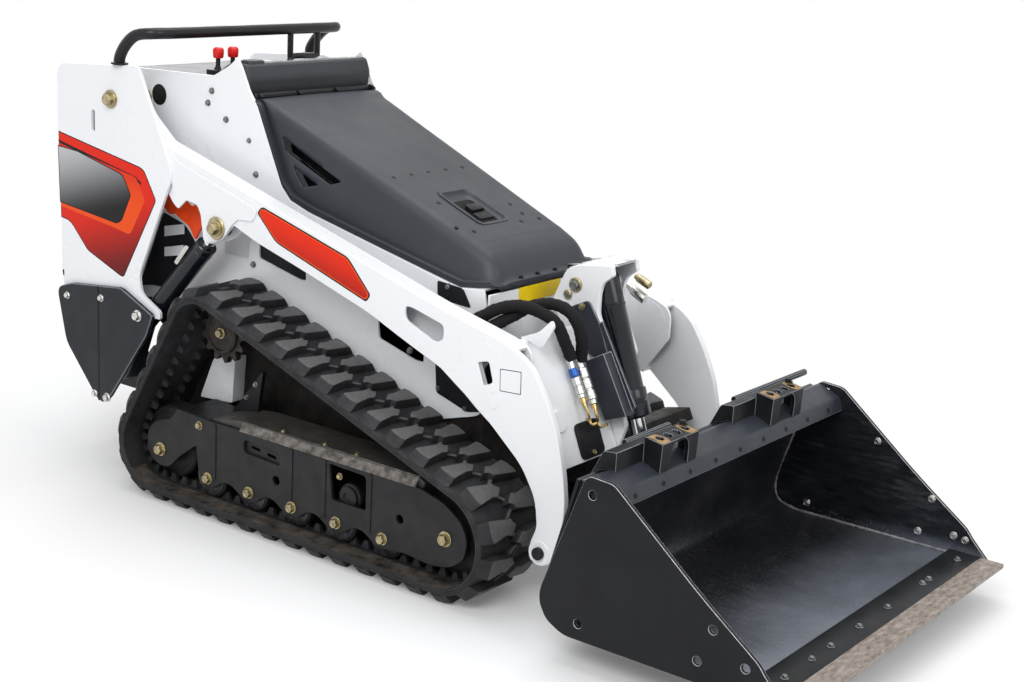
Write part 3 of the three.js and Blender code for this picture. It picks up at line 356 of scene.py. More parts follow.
def plain_finish(name, colour, gloss, metallic=0.0, *, spread, patch=14.0, grain=(700.0, 0.00006), coat=0.0,
                 shine=0.5):
    """Paint, plating or plastic: its colour is lighter and darker by the share spread in patches, its
    roughness runs unevenly between two values, and it has a fine grain of (bumps to the metre, depth in
    metres). The surface mirrors less the lower its shine is."""
    made, tree, shader = new_material(name)
    stops = [(0.32, [c * (1 - spread) for c in colour]), (0.68, [min(1, c * (1 + spread)) for c in colour])]
    bumps, depth = grain
    fill(tree, shader, {
        "Base Color": toned(tree, soft_noise(tree, patch, 6.0, 0.62), stops),
        "Roughness": uneven_gloss(tree, *gloss, patch * 2.3),
        "Normal": relief(tree, soft_noise(tree, bumps, 3.0), 1.0, depth),
        "Metallic": metallic, "Specular IOR Level": shine, "Coat Weight": coat, "Coat Roughness": 0.12})
    return made


def covered(made, share, colour):
    """Covers a finish with another colour, to the share given."""
    shader = made.node_tree.nodes["Principled BSDF"]
    under = shader.inputs["Base Color"].links[0].from_socket
    fill(made.node_tree, shader, {"Base Color": overlaid(made.node_tree, share, under, (*colour, 1))})
    return made


def dusty(made, colour, low, high, amount):
    """Adds dry dust to a finish, in patches: none above the height high, and up to amount of it at low."""
    tree = made.node_tree
    height = add_node(tree, "ShaderNodeSeparateXYZ", {"Vector": object_place(tree)}).outputs["Z"]
    patchy = ramped(tree, soft_noise(tree, 21.0, 8.0, 0.7), 0.35, 0.72, 0.0, amount)
    share = combined(tree, "MULTIPLY", ramped(tree, height, low, high, 1.0, 0.0), patchy)
    return covered(made, share, colour)


def frame_at(axis):
    """Three unit directions as rows, the last of them along axis."""
    axis = np.asarray(axis, float)
    axis = axis / np.linalg.norm(axis)
    side = np.cross([0, 0, 1] if abs(axis[2]) < 0.9 else [0, 1, 0], axis)
    side /= np.linalg.norm(side)
    return np.array([side, np.cross(axis, side), axis])


def capped(rings):
    """Rings of points joined into a tube, with a flat face over its first and its last ring."""
    count, around = rings.shape[:2]
    last = (count - 1) * around
    return rings.reshape(-1, 3), [*grid_faces(count, around, wrap_columns=True).tolist(),
                                  list(range(around)), list(range(last, last + around))]


def turned(start, end, profile, around=24):
    """A turned part on the line from start to end: a circle for each (distance along, radius) of the profile,
    in metres, closed at both ends."""
    start, end = np.asarray(start, float), np.asarray(end, float)
    rows = frame_at(end - start)
    profile = np.array(profile, float)
    angle = np.arange(around) * 2 * math.pi / around
    ring = np.cos(angle)[:, None] * rows[0] + np.sin(angle)[:, None] * rows[1]
    points = start + profile[:, :1, None] * rows[2] + profile[:, 1:, None] * ring[None]
    return capped(points)


def bushing(middle, half_width, bore, radius, chamfer, around=32):
    """A turned sleeve across the machine, with its outer edges chamfered."""
    width = 2 * half_width
    return turned(middle - [0, half_width, 0], middle + [0, half_width, 0],
                  [(0.0, bore), (0.0, radius - chamfer), (chamfer, radius), (width - chamfer, radius),
                   (width, radius - chamfer), (width, bore)], around)


def hex_bolt(size, height, washer):
    """A bolt head on +Z: washer rim and top, hexagon foot and shoulder, chamfer circle and crown. Round the
    axis the hexagon's radius is size / cos(angle from the nearest flat's middle)."""
    around = 24
    angle = np.arange(around) * 2 * math.pi / around
    hexagon = size / np.cos((angle % (math.pi / 3)) - math.pi / 6)
    one = np.ones(around)
    thick = size * 0.28
    rows = [(one * washer, 0.0), (one * washer, thick * 0.8), (one * washer * 0.95, thick), (hexagon, thick),
            (hexagon, height - size * 0.16), (one * size * 0.97, height), (one * size * 0.72, height),
            (one * size * 0.68, height - size * 0.06)]
    return capped(np.array([np.stack([radius * np.cos(angle), radius * np.sin(angle), np.full(around, z)], -1)
                            for radius, z in rows]))


def bolted(table, axis=(0, -1, 0)):
    """Bolt heads that face along axis, from rows of (x, y, z, half width across flats) in millimetres."""
    heads = []
    for x, y, z, size in table:
        points, faces = hex_bolt(size / 1000, size * 1.25 / 1000, size * 1.55 / 1000)
        heads.append((points @ frame_at(axis) + np.array([x, y, z]) / 1000, faces))
    return joined(heads)


def plated(name, colour, gloss, spread):
    """Bare or plated steel, mottled in patches of one or two centimetres."""
    return plain_finish(name, colour, gloss, metallic=1.0, spread=spread, patch=60.0)


zinc_yellow = plated("zinc_yellow", (0.40, 0.345, 0.21), (0.28, 0.5), 0.35)
dark_steel = plated("dark_steel", (0.24, 0.26, 0.255), (0.3, 0.5), 0.35)
zinc_silver = plated("zinc_silver", (0.62, 0.62, 0.60), (0.22, 0.42), 0.18)
brass_line = plain_finish("brass_line", (0.68, 0.49, 0.19), (0.2, 0.35), metallic=1.0, spread=0.15,
                          patch=40.0)
black_paint = plain_finish("black_paint", (0.009, 0.0095, 0.011), (0.34, 0.5), spread=0.35,
                           grain=(500.0, 0.00012), shine=0.18)
blue_collar = plain_finish("blue_collar", (0.02, 0.10, 0.36), (0.3, 0.4), metallic=0.5, spread=0.1)
COUPLERS = [
    # hose end, body end, line end, radius of the body, collar colour
    ((408, -176, 580), (449, -181, 508), (470, -181, 474), 11.5, blue_collar),
    ((412, -144, 577), (461, -147, 488), (474, -148, 462), 14.5, zinc_silver),
]
LINE_RADIUS = 0.0036
coupler_bodies, hard_lines = [], []
for number, (hose_end, body_end, line_end, radius, collar_finish) in enumerate(COUPLERS, 1):
    hose_end, body_end, line_end = (np.array(place) / 1000 for place in (hose_end, body_end, line_end))
    r, reach = radius / 1000, float(np.linalg.norm(body_end - hose_end))
    coupler_bodies.append(turned(hose_end, body_end,
                                 [(-0.018, r * 0.8), (-0.018, r * 0.92), (-0.012, r * 0.92),
                                  (-0.012, r * 0.8), (0.0, r * 0.8), (reach * 0.33, r * 0.8),
                                  (reach * 0.36, r), (reach * 0.58, r), (reach * 0.60, r * 0.86),
                                  (reach * 0.63, r * 0.86), (reach * 0.65, r), (reach * 0.86, r),
                                  (reach * 0.88, r * 0.8), (reach * 0.98, r * 0.8), (reach, r * 0.62)]))
    knurls = [(reach * share, r * (1.06 if step % 2 else 1.0))
              for step, share in enumerate(np.linspace(0.08, 0.31, 9))]
    collar = turned(hose_end, body_end, [(reach * 0.06, r * 0.82), *knurls, (reach * 0.33, r * 0.82)])
    make_piece(f"coupler_collar_{number}", collar, collar_finish, "lift_arms")
    bends = [(0.003, 0.002, -0.016), (0.010, 0.004, -0.028), (0.014, 0.008 + 0.010 * number, -0.026)]
    loop = smooth_route([body_end, line_end, *[line_end + bend for bend in bends]], 26)
    hard_lines.append(swept(loop, LINE_RADIUS, 10))
    hard_lines.append(turned(body_end, line_end,
                             [(0.0, 0.0075), (0.008, 0.0075), (0.008, 0.006), (0.012, 0.006)], 12))
ferrules = []
for corners in HOSE_ROUTES:
    start, second = np.array(corners[0]) / 1000, np.array(corners[1]) / 1000
    way = (second - start) / np.linalg.norm(second - start)
    ferrules.append(turned(start - way * 0.034, start + way * 0.012,
                           [(0.0, 0.009), (0.0, 0.011), (0.008, 0.011), (0.009, 0.0135), (0.016, 0.0145),
                            (0.022, 0.0135), (0.028, 0.0145), (0.034, 0.0135), (0.040, 0.0145),
                            (0.046, 0.0138), (0.046, 0.0125)]))
make_piece("coupler_bodies", joined(coupler_bodies), zinc_silver, "lift_arms",
           replaces=["hydraulic_couplers"])
make_piece("coupler_hard_lines", joined(hard_lines), brass_line, "lift_arms")
make_piece("hose_ferrules", joined(ferrules), zinc_silver, "lift_arms")


# ------------------------------ plates cut from sheet
# The black plate under the couplers and the bent slate guard beside the tilt cylinder, laser-cut, painted and
# held by hexagon bolts.
def rounded(corners, samples=7):
    """Corners (x, z, reach) in millimetres become a closed loop in metres: round each corner the points go
    from reach before it to reach after it on the curve (1-t)^2 start + 2t(1-t) corner + t^2 end."""
    table = np.array([(*corner, 0.0)[:3] for corner in corners], float) / 1000
    at, reach = table[:, :2], table[:, 2]
    to_before, to_after = np.roll(at, 1, axis=0) - at, np.roll(at, -1, axis=0) - at
    before, after = np.linalg.norm(to_before, axis=1), np.linalg.norm(to_after, axis=1)
    start = at + to_before * (np.minimum(reach, before * 0.49) / before)[:, None]
    end = at + to_after * (np.minimum(reach, after * 0.49) / after)[:, None]
    t = np.linspace(0, 1, samples)[None, :, None]
    loop = start[:, None] * (1 - t) ** 2 + at[:, None] * 2 * t * (1 - t) + end[:, None] * t ** 2
    loop = loop.reshape(-1, 2)
    return loop[np.linalg.norm(loop - np.roll(loop, 1, axis=0), axis=1) > 1e-5]


def rectangle(x0, z0, x1, z1, reach):
    """A rectangle's loop with rounded corners, from millimetres."""
    return rounded([(x0, z0, reach), (x1, z0, reach), (x1, z1, reach), (x0, z1, reach)])


def circle(x, z, radius, count=24):
    """A round hole's loop, from millimetres."""
    angle = np.arange(count) * 2 * math.pi / count
    return np.stack([x + radius * np.cos(angle), z + radius * np.sin(angle)], -1) / 1000


def plate(outline, y0, y1, edge, holes=()):
    """A plate in the side view between two distances from the middle plane, all in millimetres. Each loop is
    carried through the thickness, and near each face it draws in along a quarter circle of radius edge."""
    low, high, edge = min(y0, y1) / 1000, max(y0, y1) / 1000, edge / 1000
    quarter = np.linspace(0, math.pi / 2, 4)
    inset = np.concatenate([edge * (1 - np.sin(quarter)), edge * (1 - np.sin(quarter[::-1]))])
    depth = np.concatenate([low + edge * (1 - np.cos(quarter)), high - edge * (1 - np.cos(quarter[::-1]))])
    parts, rims = [], []
    for number, loop in enumerate([outline, *holes]):
        loop = np.asarray(loop, float)
        area = np.sum(loop[:, 0] * np.roll(loop[:, 1], -1) - np.roll(loop[:, 0], -1) * loop[:, 1])
        if (area > 0) == (number > 0):
            loop = loop[::-1]
        ahead = np.roll(loop, -1, axis=0) - loop
        ahead /= np.linalg.norm(ahead, axis=1)[:, None]
        left = np.stack([-ahead[:, 1], ahead[:, 0]], -1)
        inward = left + np.roll(left, 1, axis=0)
        inward /= np.maximum(np.sum(inward * left, axis=1), 0.35)[:, None]
        rings = loop[None] + inset[:, None, None] * inward[None]
        deep = np.broadcast_to(depth[:, None], rings.shape[:2])
        points = np.stack([rings[..., 0], deep, rings[..., 1]], -1)
        parts.append((points.reshape(-1, 3), grid_faces(len(inset), len(loop), wrap_columns=True).tolist()))
        rims.append(rings[0])
    points, faces = joined(parts)
    flat = tessellate_polygon([[(x, z, 0.0) for x, z in rim] for rim in rims])
    counts = np.cumsum([0, *[len(rim) for rim in rims]])
    starts = len(inset) * counts
    loop_of = np.searchsorted(counts, np.array(flat), side="right") - 1
    first = starts[loop_of] + np.array(flat) - counts[loop_of]
    sizes = np.array([len(rim) for rim in rims])[loop_of]
    return points, [*faces, *first.tolist(), *(first + (len(inset) - 1) * sizes)[:, ::-1].tolist()]


def mirrored(shape):
    """The same piece on the machine's other side."""
    points, faces = shape
    return np.asarray(points, float).reshape(-1, 3) * [1, -1, 1], faces


def make_pair(name, shape, finish, body="chassis", flat=True, hides=None):
    """A piece on the machine's right, and the same mirrored on its left. It hides a CAD node on each side."""
    for side, placed in (("right", shape), ("left", mirrored(shape))):
        make_piece(f"{name}_{side}", placed, finish, body, flat=flat,
                   replaces=[f"{hides}_{side}"] if hides else ())


def flat_shaded(item, width=None, angle=30, segments=2, highlight_layer=0):
    """Rounds a piece's sharp edges by width millimetres, if given, and keeps its flat faces flat. The rounded
    edges get a painted highlight: the piece's lighter material of the number given, if that isn't its first."""
    if width:
        bevel = item.modifiers.new("edges", "BEVEL")
        bevel.width, bevel.segments, bevel.limit_method = width / 1000, segments, "ANGLE"
        bevel.angle_limit = math.radians(angle)
        bevel.use_clamp_overlap = False
        bevel.material = highlight_layer if highlight_layer else -1
    item.modifiers.new("flat_faces", "WEIGHTED_NORMAL").keep_sharp = True
    return item


def refined(name, finish, width, body, angle=30, segments=2, highlight_layer=0):
    """A CAD node's shape with its doubled points merged, its flat faces joined, and those of its edges that
    bend by more than angle degrees rounded by width millimetres."""
    work = bmesh.new()
    work.from_mesh(nodes[name].data)
    bmesh.ops.remove_doubles(work, verts=work.verts, dist=2e-5)
    bmesh.ops.dissolve_limit(work, angle_limit=math.radians(0.8), verts=work.verts, edges=work.edges)
    points = [tuple(v.co) for v in work.verts]
    work.verts.index_update()
    faces = [[v.index for v in face.verts] for face in work.faces]
    work.free()
    item = make_piece(f"finished_{name}", (points, faces), finish, body, smooth=180, replaces=[name])
    return flat_shaded(item, width, angle, segments, highlight_layer)


slate_paint = plain_finish("slate_paint", (0.026, 0.030, 0.040), (0.3, 0.46), spread=0.16, patch=9.0,
                           grain=(450.0, 0.0001), shine=0.3)
# A lighter slate for the rounded edges: a painted highlight along them.
slate_edge_highlight = plain_finish("slate_edge_highlight", (0.22, 0.23, 0.25), (0.35, 0.5), spread=0.2, patch=30.0)
refined("coupler_guard", [slate_paint, slate_edge_highlight], 1.6, "lift_arms", highlight_layer=1)
FACE_BEND, FACE_FOOT = np.array([417.0, 526.0]), np.array([487.0, 357.0])
face_way = (FACE_FOOT - FACE_BEND) / np.linalg.norm(FACE_FOOT - FACE_BEND)
face_out = np.array([-face_way[1], face_way[0]])


def on_lower_face(shape):
    """Turns a plate drawn as (down the face, out of its plane, across) onto the cross member's lower face."""
    points, faces = shape
    down, out, sideways = points[:, 0], points[:, 1], points[:, 2]
    foot = FACE_BEND / 1000
    return np.stack([foot[0] + down * face_way[0] + out * face_out[0], sideways,
                     foot[1] + down * face_way[1] + out * face_out[1]], -1), faces


coupler_plate = plate(rectangle(86, -217, 178, -119, 18), 0.3, 6, 1.0)
make_piece("coupler_plate", on_lower_face(coupler_plate), black_paint, "lift_arms")
plate_bolts = joined([bolted([(455, -157, 445, 6), (484, -169, 374, 6)], (0.92, 0, 0.38)),
                      bolted([(355, -68.3, 706, 6), (362, -68.3, 642, 6)])])
make_piece("coupler_plate_bolts", plate_bolts, zinc_yellow, "lift_arms")


# ------------------------------ rubber tracks
# A moulded rubber belt with steel cords inside and two rows of staggered drive lugs outside. It is one
# endless loop round the drive sprocket and two idlers; dust sits low down and the lugs' tops are scuffed.

# The sprocket and the two idlers: (x, z, radius of the belt's inner face).
WHEELS = np.array([[-0.600, 0.505, 0.093], [0.254, 0.168, 0.123], [-0.786, 0.152, 0.107]])
BELT_THICK = 0.020
BELT_MIDDLE = -0.3775
LUG_PITCH_WANTED = 0.086
next_wheel = np.roll(WHEELS, -1, axis=0)
run = next_wheel[:, :2] - WHEELS[:, :2]
run_length = np.linalg.norm(run, axis=1)
run_unit = run / run_length[:, None]
lean = np.arcsin((WHEELS[:, 2] - next_wheel[:, 2]) / run_length)
run_normal = (np.stack([-run_unit[:, 1], run_unit[:, 0]], -1) * np.cos(lean)[:, None]
              + run_unit * np.sin(lean)[:, None])
straight = run_length * np.cos(lean)
leave = np.arctan2(run_normal[:, 1], run_normal[:, 0])
arrive = np.roll(leave, 1)
wrap = (arrive - leave) % (2 * math.pi)
arc_length = wrap * (WHEELS[:, 2] + BELT_THICK)
stretch_ends = np.cumsum(np.stack([arc_length, straight], -1).ravel())
BELT_LENGTH = stretch_ends[-1]


def on_belt(s, out, y):
    """A place on the belt: s metres along its outer face, out metres above the wheels' rims, y across. On a
    wheel the point turns about its axle; between wheels it moves along the straight common tangent."""
    s, out, y = np.broadcast_arrays(np.asarray(s, float), out, y)
    s = s % BELT_LENGTH
    stretch = np.minimum(np.searchsorted(stretch_ends, s, side="right"), len(stretch_ends) - 1)
    wheel = stretch // 2
    gone = s - np.concatenate([[0], stretch_ends])[stretch]
    radius = WHEELS[wheel, 2]
    angle = arrive[wheel] - np.where(stretch % 2 == 0, gone / (radius + BELT_THICK), wrap[wheel])
    ahead = np.where(stretch % 2 == 0, 0.0, gone)
    reach = radius + out
    way = np.stack([np.sin(leave[wheel]), -np.cos(leave[wheel])], -1)
    return np.stack([WHEELS[wheel, 0] + reach * np.cos(angle) + ahead * way[..., 0], y,
                     WHEELS[wheel, 1] + reach * np.sin(angle) + ahead * way[..., 1]], -1)


def rubber_finish():
    """Dark rubber with a fine pitted grain. Where the attribute worn is 1 it is scuffed to grey with
    scratches along the belt, and brown dust lies in patches, more of it near the ground."""
    made = plain_finish("track_rubber", (0.016, 0.017, 0.019), (0.5, 0.75), spread=0.5, patch=18.0,
                        grain=(260.0, 0.0008), shine=0.3)
    tree = made.node_tree
    worn = add_node(tree, "ShaderNodeAttribute", attribute_name="worn").outputs["Fac"]
    scuffs = soft_noise(tree, 1.0, 9.0, 0.75, stretch=(90, 260, 90))
    share = combined(tree, "MULTIPLY", ramped(tree, scuffs, 0.34, 0.66, 0.45, 1.0), worn)
    covered(made, share, (0.125, 0.125, 0.128))
    return dusty(made, (0.085, 0.073, 0.060), 0.0, 0.75, 0.14)


track_rubber = rubber_finish()
LUG_COUNT = round(BELT_LENGTH / LUG_PITCH_WANTED)
LUG_PITCH = BELT_LENGTH / LUG_COUNT
BELT_STATIONS = 420
# Half of the belt's section, round its ridged edge: (across from the belt's middle, height).
HALF_SECTION = [(40, 20.6), (112, 20), (116, 18.6), (117.5, 16), (116, 14.5), (117.5, 13), (117.5, 10.5),
                (116, 9), (117.5, 7.5), (117, 3), (113, 0.6), (60, 0), (34, 0), (30, 2)]
BELT_SECTION = np.roll([*HALF_SECTION, *[(-y, z) for y, z in HALF_SECTION[::-1]]], 2, axis=0) / 1000
along_belt = np.linspace(0, BELT_LENGTH, BELT_STATIONS, endpoint=False)
belt_points = on_belt(along_belt[:, None], BELT_SECTION[None, :, 1], BELT_MIDDLE + BELT_SECTION[None, :, 0])
belt = (belt_points.reshape(-1, 3),
        grid_faces(BELT_STATIONS, len(BELT_SECTION), wrap_rows=True, wrap_columns=True).tolist())


def repeated(block_points, face_groups, starts, across=0.0):
    """Copies of a block's points (along, across, out) and faces, one at each start along the belt."""
    placed = on_belt(block_points[None, :, 0] + starts[:, None], block_points[None, :, 2],
                     BELT_MIDDLE + across + block_points[None, :, 1])
    offsets = (np.arange(len(starts)) * len(block_points))[:, None, None]
    return placed.reshape(-1, 3), [face for group in face_groups
                                   for face in (group[None] + offsets).reshape(-1, group.shape[1]).tolist()]


def lug(outline, height, inset, starts):
    """Copies of a moulded block at each start along the belt. Its outline (along, across) rises from the
    belt, draws in by inset on the way up, more so at the belt's edge, and closes over a top that follows the
    bend. The third value is 1 for each point that is worn."""
    loop = np.asarray(outline, float) / 1000
    centre = loop.mean(axis=0)
    top = BELT_THICK + height
    shrink = [(0.0, 0.019), (0.0, 0.022), (0.7, BELT_THICK + height * 0.9),
              (0.85, BELT_THICK + height * 0.985), (1.0, top)]
    rings = []
    for share, out in shrink:
        drawn = loop + (centre - loop) * (share * inset / np.linalg.norm(centre - loop, axis=1))[:, None]
        drawn[:, 1] -= np.sign(loop[:, 1]) * (np.abs(loop[:, 1]) > 0.09) * share * 0.018
        rings.append(np.column_stack([drawn, np.full(len(loop), out)]))
    middle = np.array([[*centre, top]])
    block_points = np.concatenate([*rings, middle])
    count = len(loop)
    faces = grid_faces(len(rings), count, wrap_columns=True)
    last = (len(rings) - 1) * count
    ring = np.arange(count)
    cap = np.stack([last + ring, last + (ring + 1) % count, np.full(count, len(block_points) - 1)], -1)
    worn = np.concatenate([np.zeros(count * 3), np.ones(count * 2 + 1)])
    return *repeated(block_points, [faces, cap], starts), np.tile(worn, len(starts))


# Outlines along and across the belt: the outer lug reaches past the middle in a pointed tab, and the inner
# one stands half a pitch on. Low ribs tie the rows together.
OUTER_LUG = [(-27, -114), (-12, -117), (14, -117), (25, -112), (24, -60), (21, -38), (24, -20), (12, -4),
             (2, 6), (-4, -3), (-16, -10), (-20, -34), (-25, -60)]
INNER_LUG = [(-25, 112), (-14, 117), (12, 117), (27, 114), (25, 60), (20, 34), (16, 16), (4, 9), (-2, -6),
             (-12, 4), (-24, 20), (-21, 38), (-24, 60)]
TIE_RIB = [(-20, -30), (-12, -34), (-2, -10), (10, 2), (22, 28), (14, 34), (2, 12), (-10, 0)]
lug_starts = np.arange(LUG_COUNT) * LUG_PITCH
blocks = [lug(OUTER_LUG, 0.0245, 0.007, lug_starts),
          lug(INNER_LUG, 0.0245, 0.007, lug_starts + LUG_PITCH / 2),
          lug(TIE_RIB, 0.009, 0.004, lug_starts + LUG_PITCH * 0.27),
          lug([(x, -y) for x, y in TIE_RIB], 0.009, 0.004, lug_starts + LUG_PITCH * 0.75)]
# Steel-cored horns inside the belt run between the rollers: rings of a four-sided point, turned inwards.
horn_base = np.array([(-10, -5), (10, -5), (10, 5), (-10, 5)]) / 1000
horn_points = np.concatenate([np.column_stack([horn_base * scale, np.full(4, out)])
                              for scale, out in ((1.25, 0.001), (1.0, -0.010), (0.6, -0.020))])
horn_faces = np.concatenate([grid_faces(3, 4, wrap_columns=True), [[8, 9, 10, 11]]])
horn_starts = np.arange(LUG_COUNT * 2) * LUG_PITCH / 2
unworn = np.zeros(len(horn_starts) * len(horn_points))
horns = [(*repeated(horn_points, [horn_faces], horn_starts, across), unworn) for across in (-0.040, 0.040)]
# Dried mud lies in streaks along the belt's inner face, on its lowest run.
low_run = along_belt[on_belt(along_belt, 0.0, 0.0)[:, 2] < 0.075]
mud_section = np.array([(-113, -0.9), (-113, 0.4), (-62, 0.4), (-62, -0.9)]) / 1000
mud_points = on_belt(low_run[:, None], mud_section[None, :, 1], BELT_MIDDLE + mud_section[None, :, 0])
mud_points = mud_points.reshape(-1, 3)
mud_faces = [*grid_faces(len(low_run), 4, wrap_columns=True).tolist(), [3, 2, 1, 0],
             list(range(len(mud_points) - 4, len(mud_points)))]
track_points, track_faces = joined([belt, *[(points, faces) for points, faces, _ in blocks + horns]])
worn_shares = np.concatenate([np.zeros(len(belt[0])), *[worn for _, _, worn in blocks + horns]])
# The lowest lugs stand on the ground.
track_points[:, 2] = np.maximum(track_points[:, 2], 0.0)
dried_mud = plain_finish("dried_mud", (0.050, 0.042, 0.036), (0.6, 0.85), spread=0.9, patch=26.0,
                         grain=(180.0, 0.0008), shine=0.25)
make_pair("track_mud", (mud_points, mud_faces), dried_mud, flat=False)
for side, turn in (("right", 1), ("left", -1)):
    shape = (track_points * [1, turn, 1], [face[::turn] for face in track_faces])
    track = make_piece(f"rubber_track_{side}", shape, track_rubber, "chassis", smooth=30,
                       replaces=[f"track_{side}"], merge=False)
    worn = track.data.attributes.new("worn", "FLOAT", "POINT")
    worn.data.foreach_set("value", worn_shares.astype(np.float32))


# ------------------------------ roller frames
# Each frame is two laser-cut black plates with scalloped lower edges that carry five rollers and two idlers
# on bolted axles, under a folded top plate. They are painted steel, with brown dust on what faces up.
FRAME_CORNERS = [
    (-588, 267, 8), (-470, 269, 20), (165, 266, 10), (240, 248, 20), (300, 210, 25), (320, 168, 20),
    (312, 118, 15), (270, 84, 25), (205, 74, 20), (120, 82),
]
ROLLER_XS = [48 - 160 * number for number in range(5)]
for x in ROLLER_XS:
    FRAME_CORNERS += [(x + 18, 74, 12), (x - 22, 74, 12)]
    if x != ROLLER_XS[-1]:
        FRAME_CORNERS += [(x - 68, 104, 20), (x - 102, 104, 20)]
FRAME_CORNERS += [(-632, 118, 20), (-640, 186, 12), (-716, 130, 25), (-750, 92, 30), (-800, 90, 30),
                  (-842, 120, 35), (-840, 190, 35), (-800, 222, 20), (-745, 238, 8), (-716, 274, 6)]
FRAME_HOLES = [
    rounded([(-142, 256, 8), (-14, 252, 12), (-12, 160, 8), (-130, 160, 8)]), circle(102, 168, 12),
    circle(-332, 160, 13), rounded([(-455, 246, 12), (-320, 240, 6), (-320, 204, 6), (-455, 210, 12)]),
]


def crosswise(shape):
    """A plate drawn in the front view: its outline runs across the machine and its thickness along it."""
    points, faces = shape
    return points[:, [1, 0, 2]], faces


frame_black = dusty(plain_finish("frame_black", (0.011, 0.012, 0.014), (0.34, 0.52), spread=0.4, patch=11.0,
                                 grain=(420.0, 0.00014), shine=0.25), (0.13, 0.10, 0.07), 0.05, 0.34, 0.16)
# A lighter grey kept for the plates' edges as a painted highlight.
frame_edge_highlight = plain_finish("frame_edge_highlight", (0.10, 0.10, 0.105), (0.35, 0.5), spread=0.3, patch=30.0)
dusty_top = dusty(plain_finish("frame_top", (0.035, 0.033, 0.032), (0.45, 0.7), spread=0.4, patch=16.0,
                               grain=(300.0, 0.0002)), (0.20, 0.155, 0.105), -1.0, 0.6, 0.75)
rim_steel = plain_finish("roller_rim", (0.07, 0.07, 0.075), (0.25, 0.45), metallic=1.0, spread=0.6,
                         patch=40.0)
FRAME_FACE = -450
UP = (0, 0, 1)
frame_plate = plate(rounded(FRAME_CORNERS), FRAME_FACE, -440, 1.6, holes=FRAME_HOLES)
pocket_slots = [rounded([(-436, 233, 4), (-402, 230, 4), (-402, 221, 4), (-436, 224, 4)]),
                rounded([(-376, 226, 4), (-342, 223, 4), (-342, 214, 4), (-376, 217, 4)])]
pocket = plate(rounded([(-458, 249, 12), (-317, 243, 6), (-317, 201, 6), (-458, 207, 12)]), -440, -436, 0.6,
               holes=pocket_slots)
ribs = [plate(rectangle(x - 5, 105, x + 5, 262, 2), -453, -449, 1.5) for x in (-566, -276, -156, 2)]
inner_plate = plate(rounded(FRAME_CORNERS), -316, -306, 1.6)
# The folded cover over the rollers: a sloping bevelled front strip and a flat top.
COVER = [(-592, 266, 4), (-588, 273, 4), (-500, 288, 6), (-452, 292, 4), (154, 289, 6), (170, 279, 4),
         (165, 264), (-445, 266)]
cover_top = plate(rounded(COVER), -438, -312, 2.0)
rear_top = plate(rounded([(-730, 255, 4), (-716, 274, 6), (-590, 270, 4), (-590, 264), (-714, 268, 4),
                          (-724, 254)]), -446, -316, 1.0)
STRIP_SECTION = [(-452, 266), (-451.5, 269), (-435, 291.5), (-431, 290.5), (-447, 266)]
cover_strip = crosswise(plate(rounded(STRIP_SECTION), -470, 150, 0.4))
worn_strip = plain_finish("worn_strip", (0.15, 0.137, 0.125), (0.35, 0.6), metallic=0.6, spread=0.7,
                          patch=45.0)
ROLLER_PROFILE = [(0.0, 0.020), (0.0, 0.050), (0.003, 0.0557), (0.017, 0.0557), (0.020, 0.048),
                  (0.024, 0.047), (0.090, 0.047), (0.094, 0.048), (0.097, 0.0557), (0.111, 0.0557),
                  (0.114, 0.050), (0.114, 0.020)]
RIM_PROFILE = [(0.0, 0.044), (0.0, 0.0505), (0.003, 0.0515), (0.003, 0.044)]
IDLERS = [(-786, 152, 105.5), (254, 168, 121.5)]
rollers, roller_rims = [], []
for x in ROLLER_XS:
    rollers.append(turned((x / 1000, -0.437, 0.101), (x / 1000, -0.319, 0.101), ROLLER_PROFILE, 32))
    roller_rims.append(turned((x / 1000, -0.4385, 0.101), (x / 1000, -0.319, 0.101), RIM_PROFILE, 32))
for x, z, radius in IDLERS:
    r = radius / 1000
    rollers.append(turned((x / 1000, -0.412, z / 1000), (x / 1000, -0.343, z / 1000),
                          [(0.0, 0.030), (0.0, r - 0.026), (0.004, r - 0.020), (0.004, r - 0.006),
                           (0.009, r), (0.060, r), (0.065, r - 0.006), (0.065, r - 0.020), (0.069, r - 0.026),
                           (0.069, 0.030)], 48))
    rollers.append(bushing(np.array([x / 1000, -0.378, z / 1000]), 0.059, 0.016, 0.038, 0.004, 24))
beams = [plate(rectangle(x - 40, 180, x + 40, 260, 6), -311, -246.3, 2) for x in (-440, 60)]
frame_bolts = joined([
    bolted([*[(x, FRAME_FACE, 101, 11) for x in ROLLER_XS], (-784, FRAME_FACE, 140, 13),
            (252, FRAME_FACE, 157, 13), (-627, FRAME_FACE, 246, 8), (-112, -440, 226, 6)]),
    bolted([(-330, -427, 291, 5), (-180, -425, 290, 5), (-70, -424, 289, 5)], UP)])
hub_cap = turned((-0.087, -0.416, 0.172), (-0.087, -0.448, 0.172),
                 [(0.0, 0.036), (0.010, 0.036), (0.012, 0.030), (0.020, 0.030), (0.022, 0.024),
                  (0.022, 0.014), (0.018, 0.012)])
frame_plates = joined([frame_plate, inner_plate, rear_top, pocket, *ribs, *beams])
make_pair("roller_frame_plates", frame_plates, [frame_black, frame_edge_highlight],
          hides="track_frame")
make_pair("roller_frame_cover", cover_top, dusty_top)
make_pair("roller_frame_cover_strip", cover_strip, worn_strip)
make_pair("roller_frame_rollers", joined([*rollers, hub_cap]), frame_black)
make_pair("roller_frame_roller_rims", joined(roller_rims), rim_steel)
make_pair("roller_frame_bolts", frame_bolts, zinc_yellow)
UPRIGHT = [(-600, 240, 6), (-615, 268, 10), (-499, 411, 20), (-523, 258, 6)]
make_pair("frame_upright", plate(rounded(UPRIGHT), -336, -322, 1.5), frame_black)
make_pair("frame_upright_bolts", bolted([(-528, -336, 362, 5), (-562, -336, 318, 5)]), dark_steel,
          flat=False)


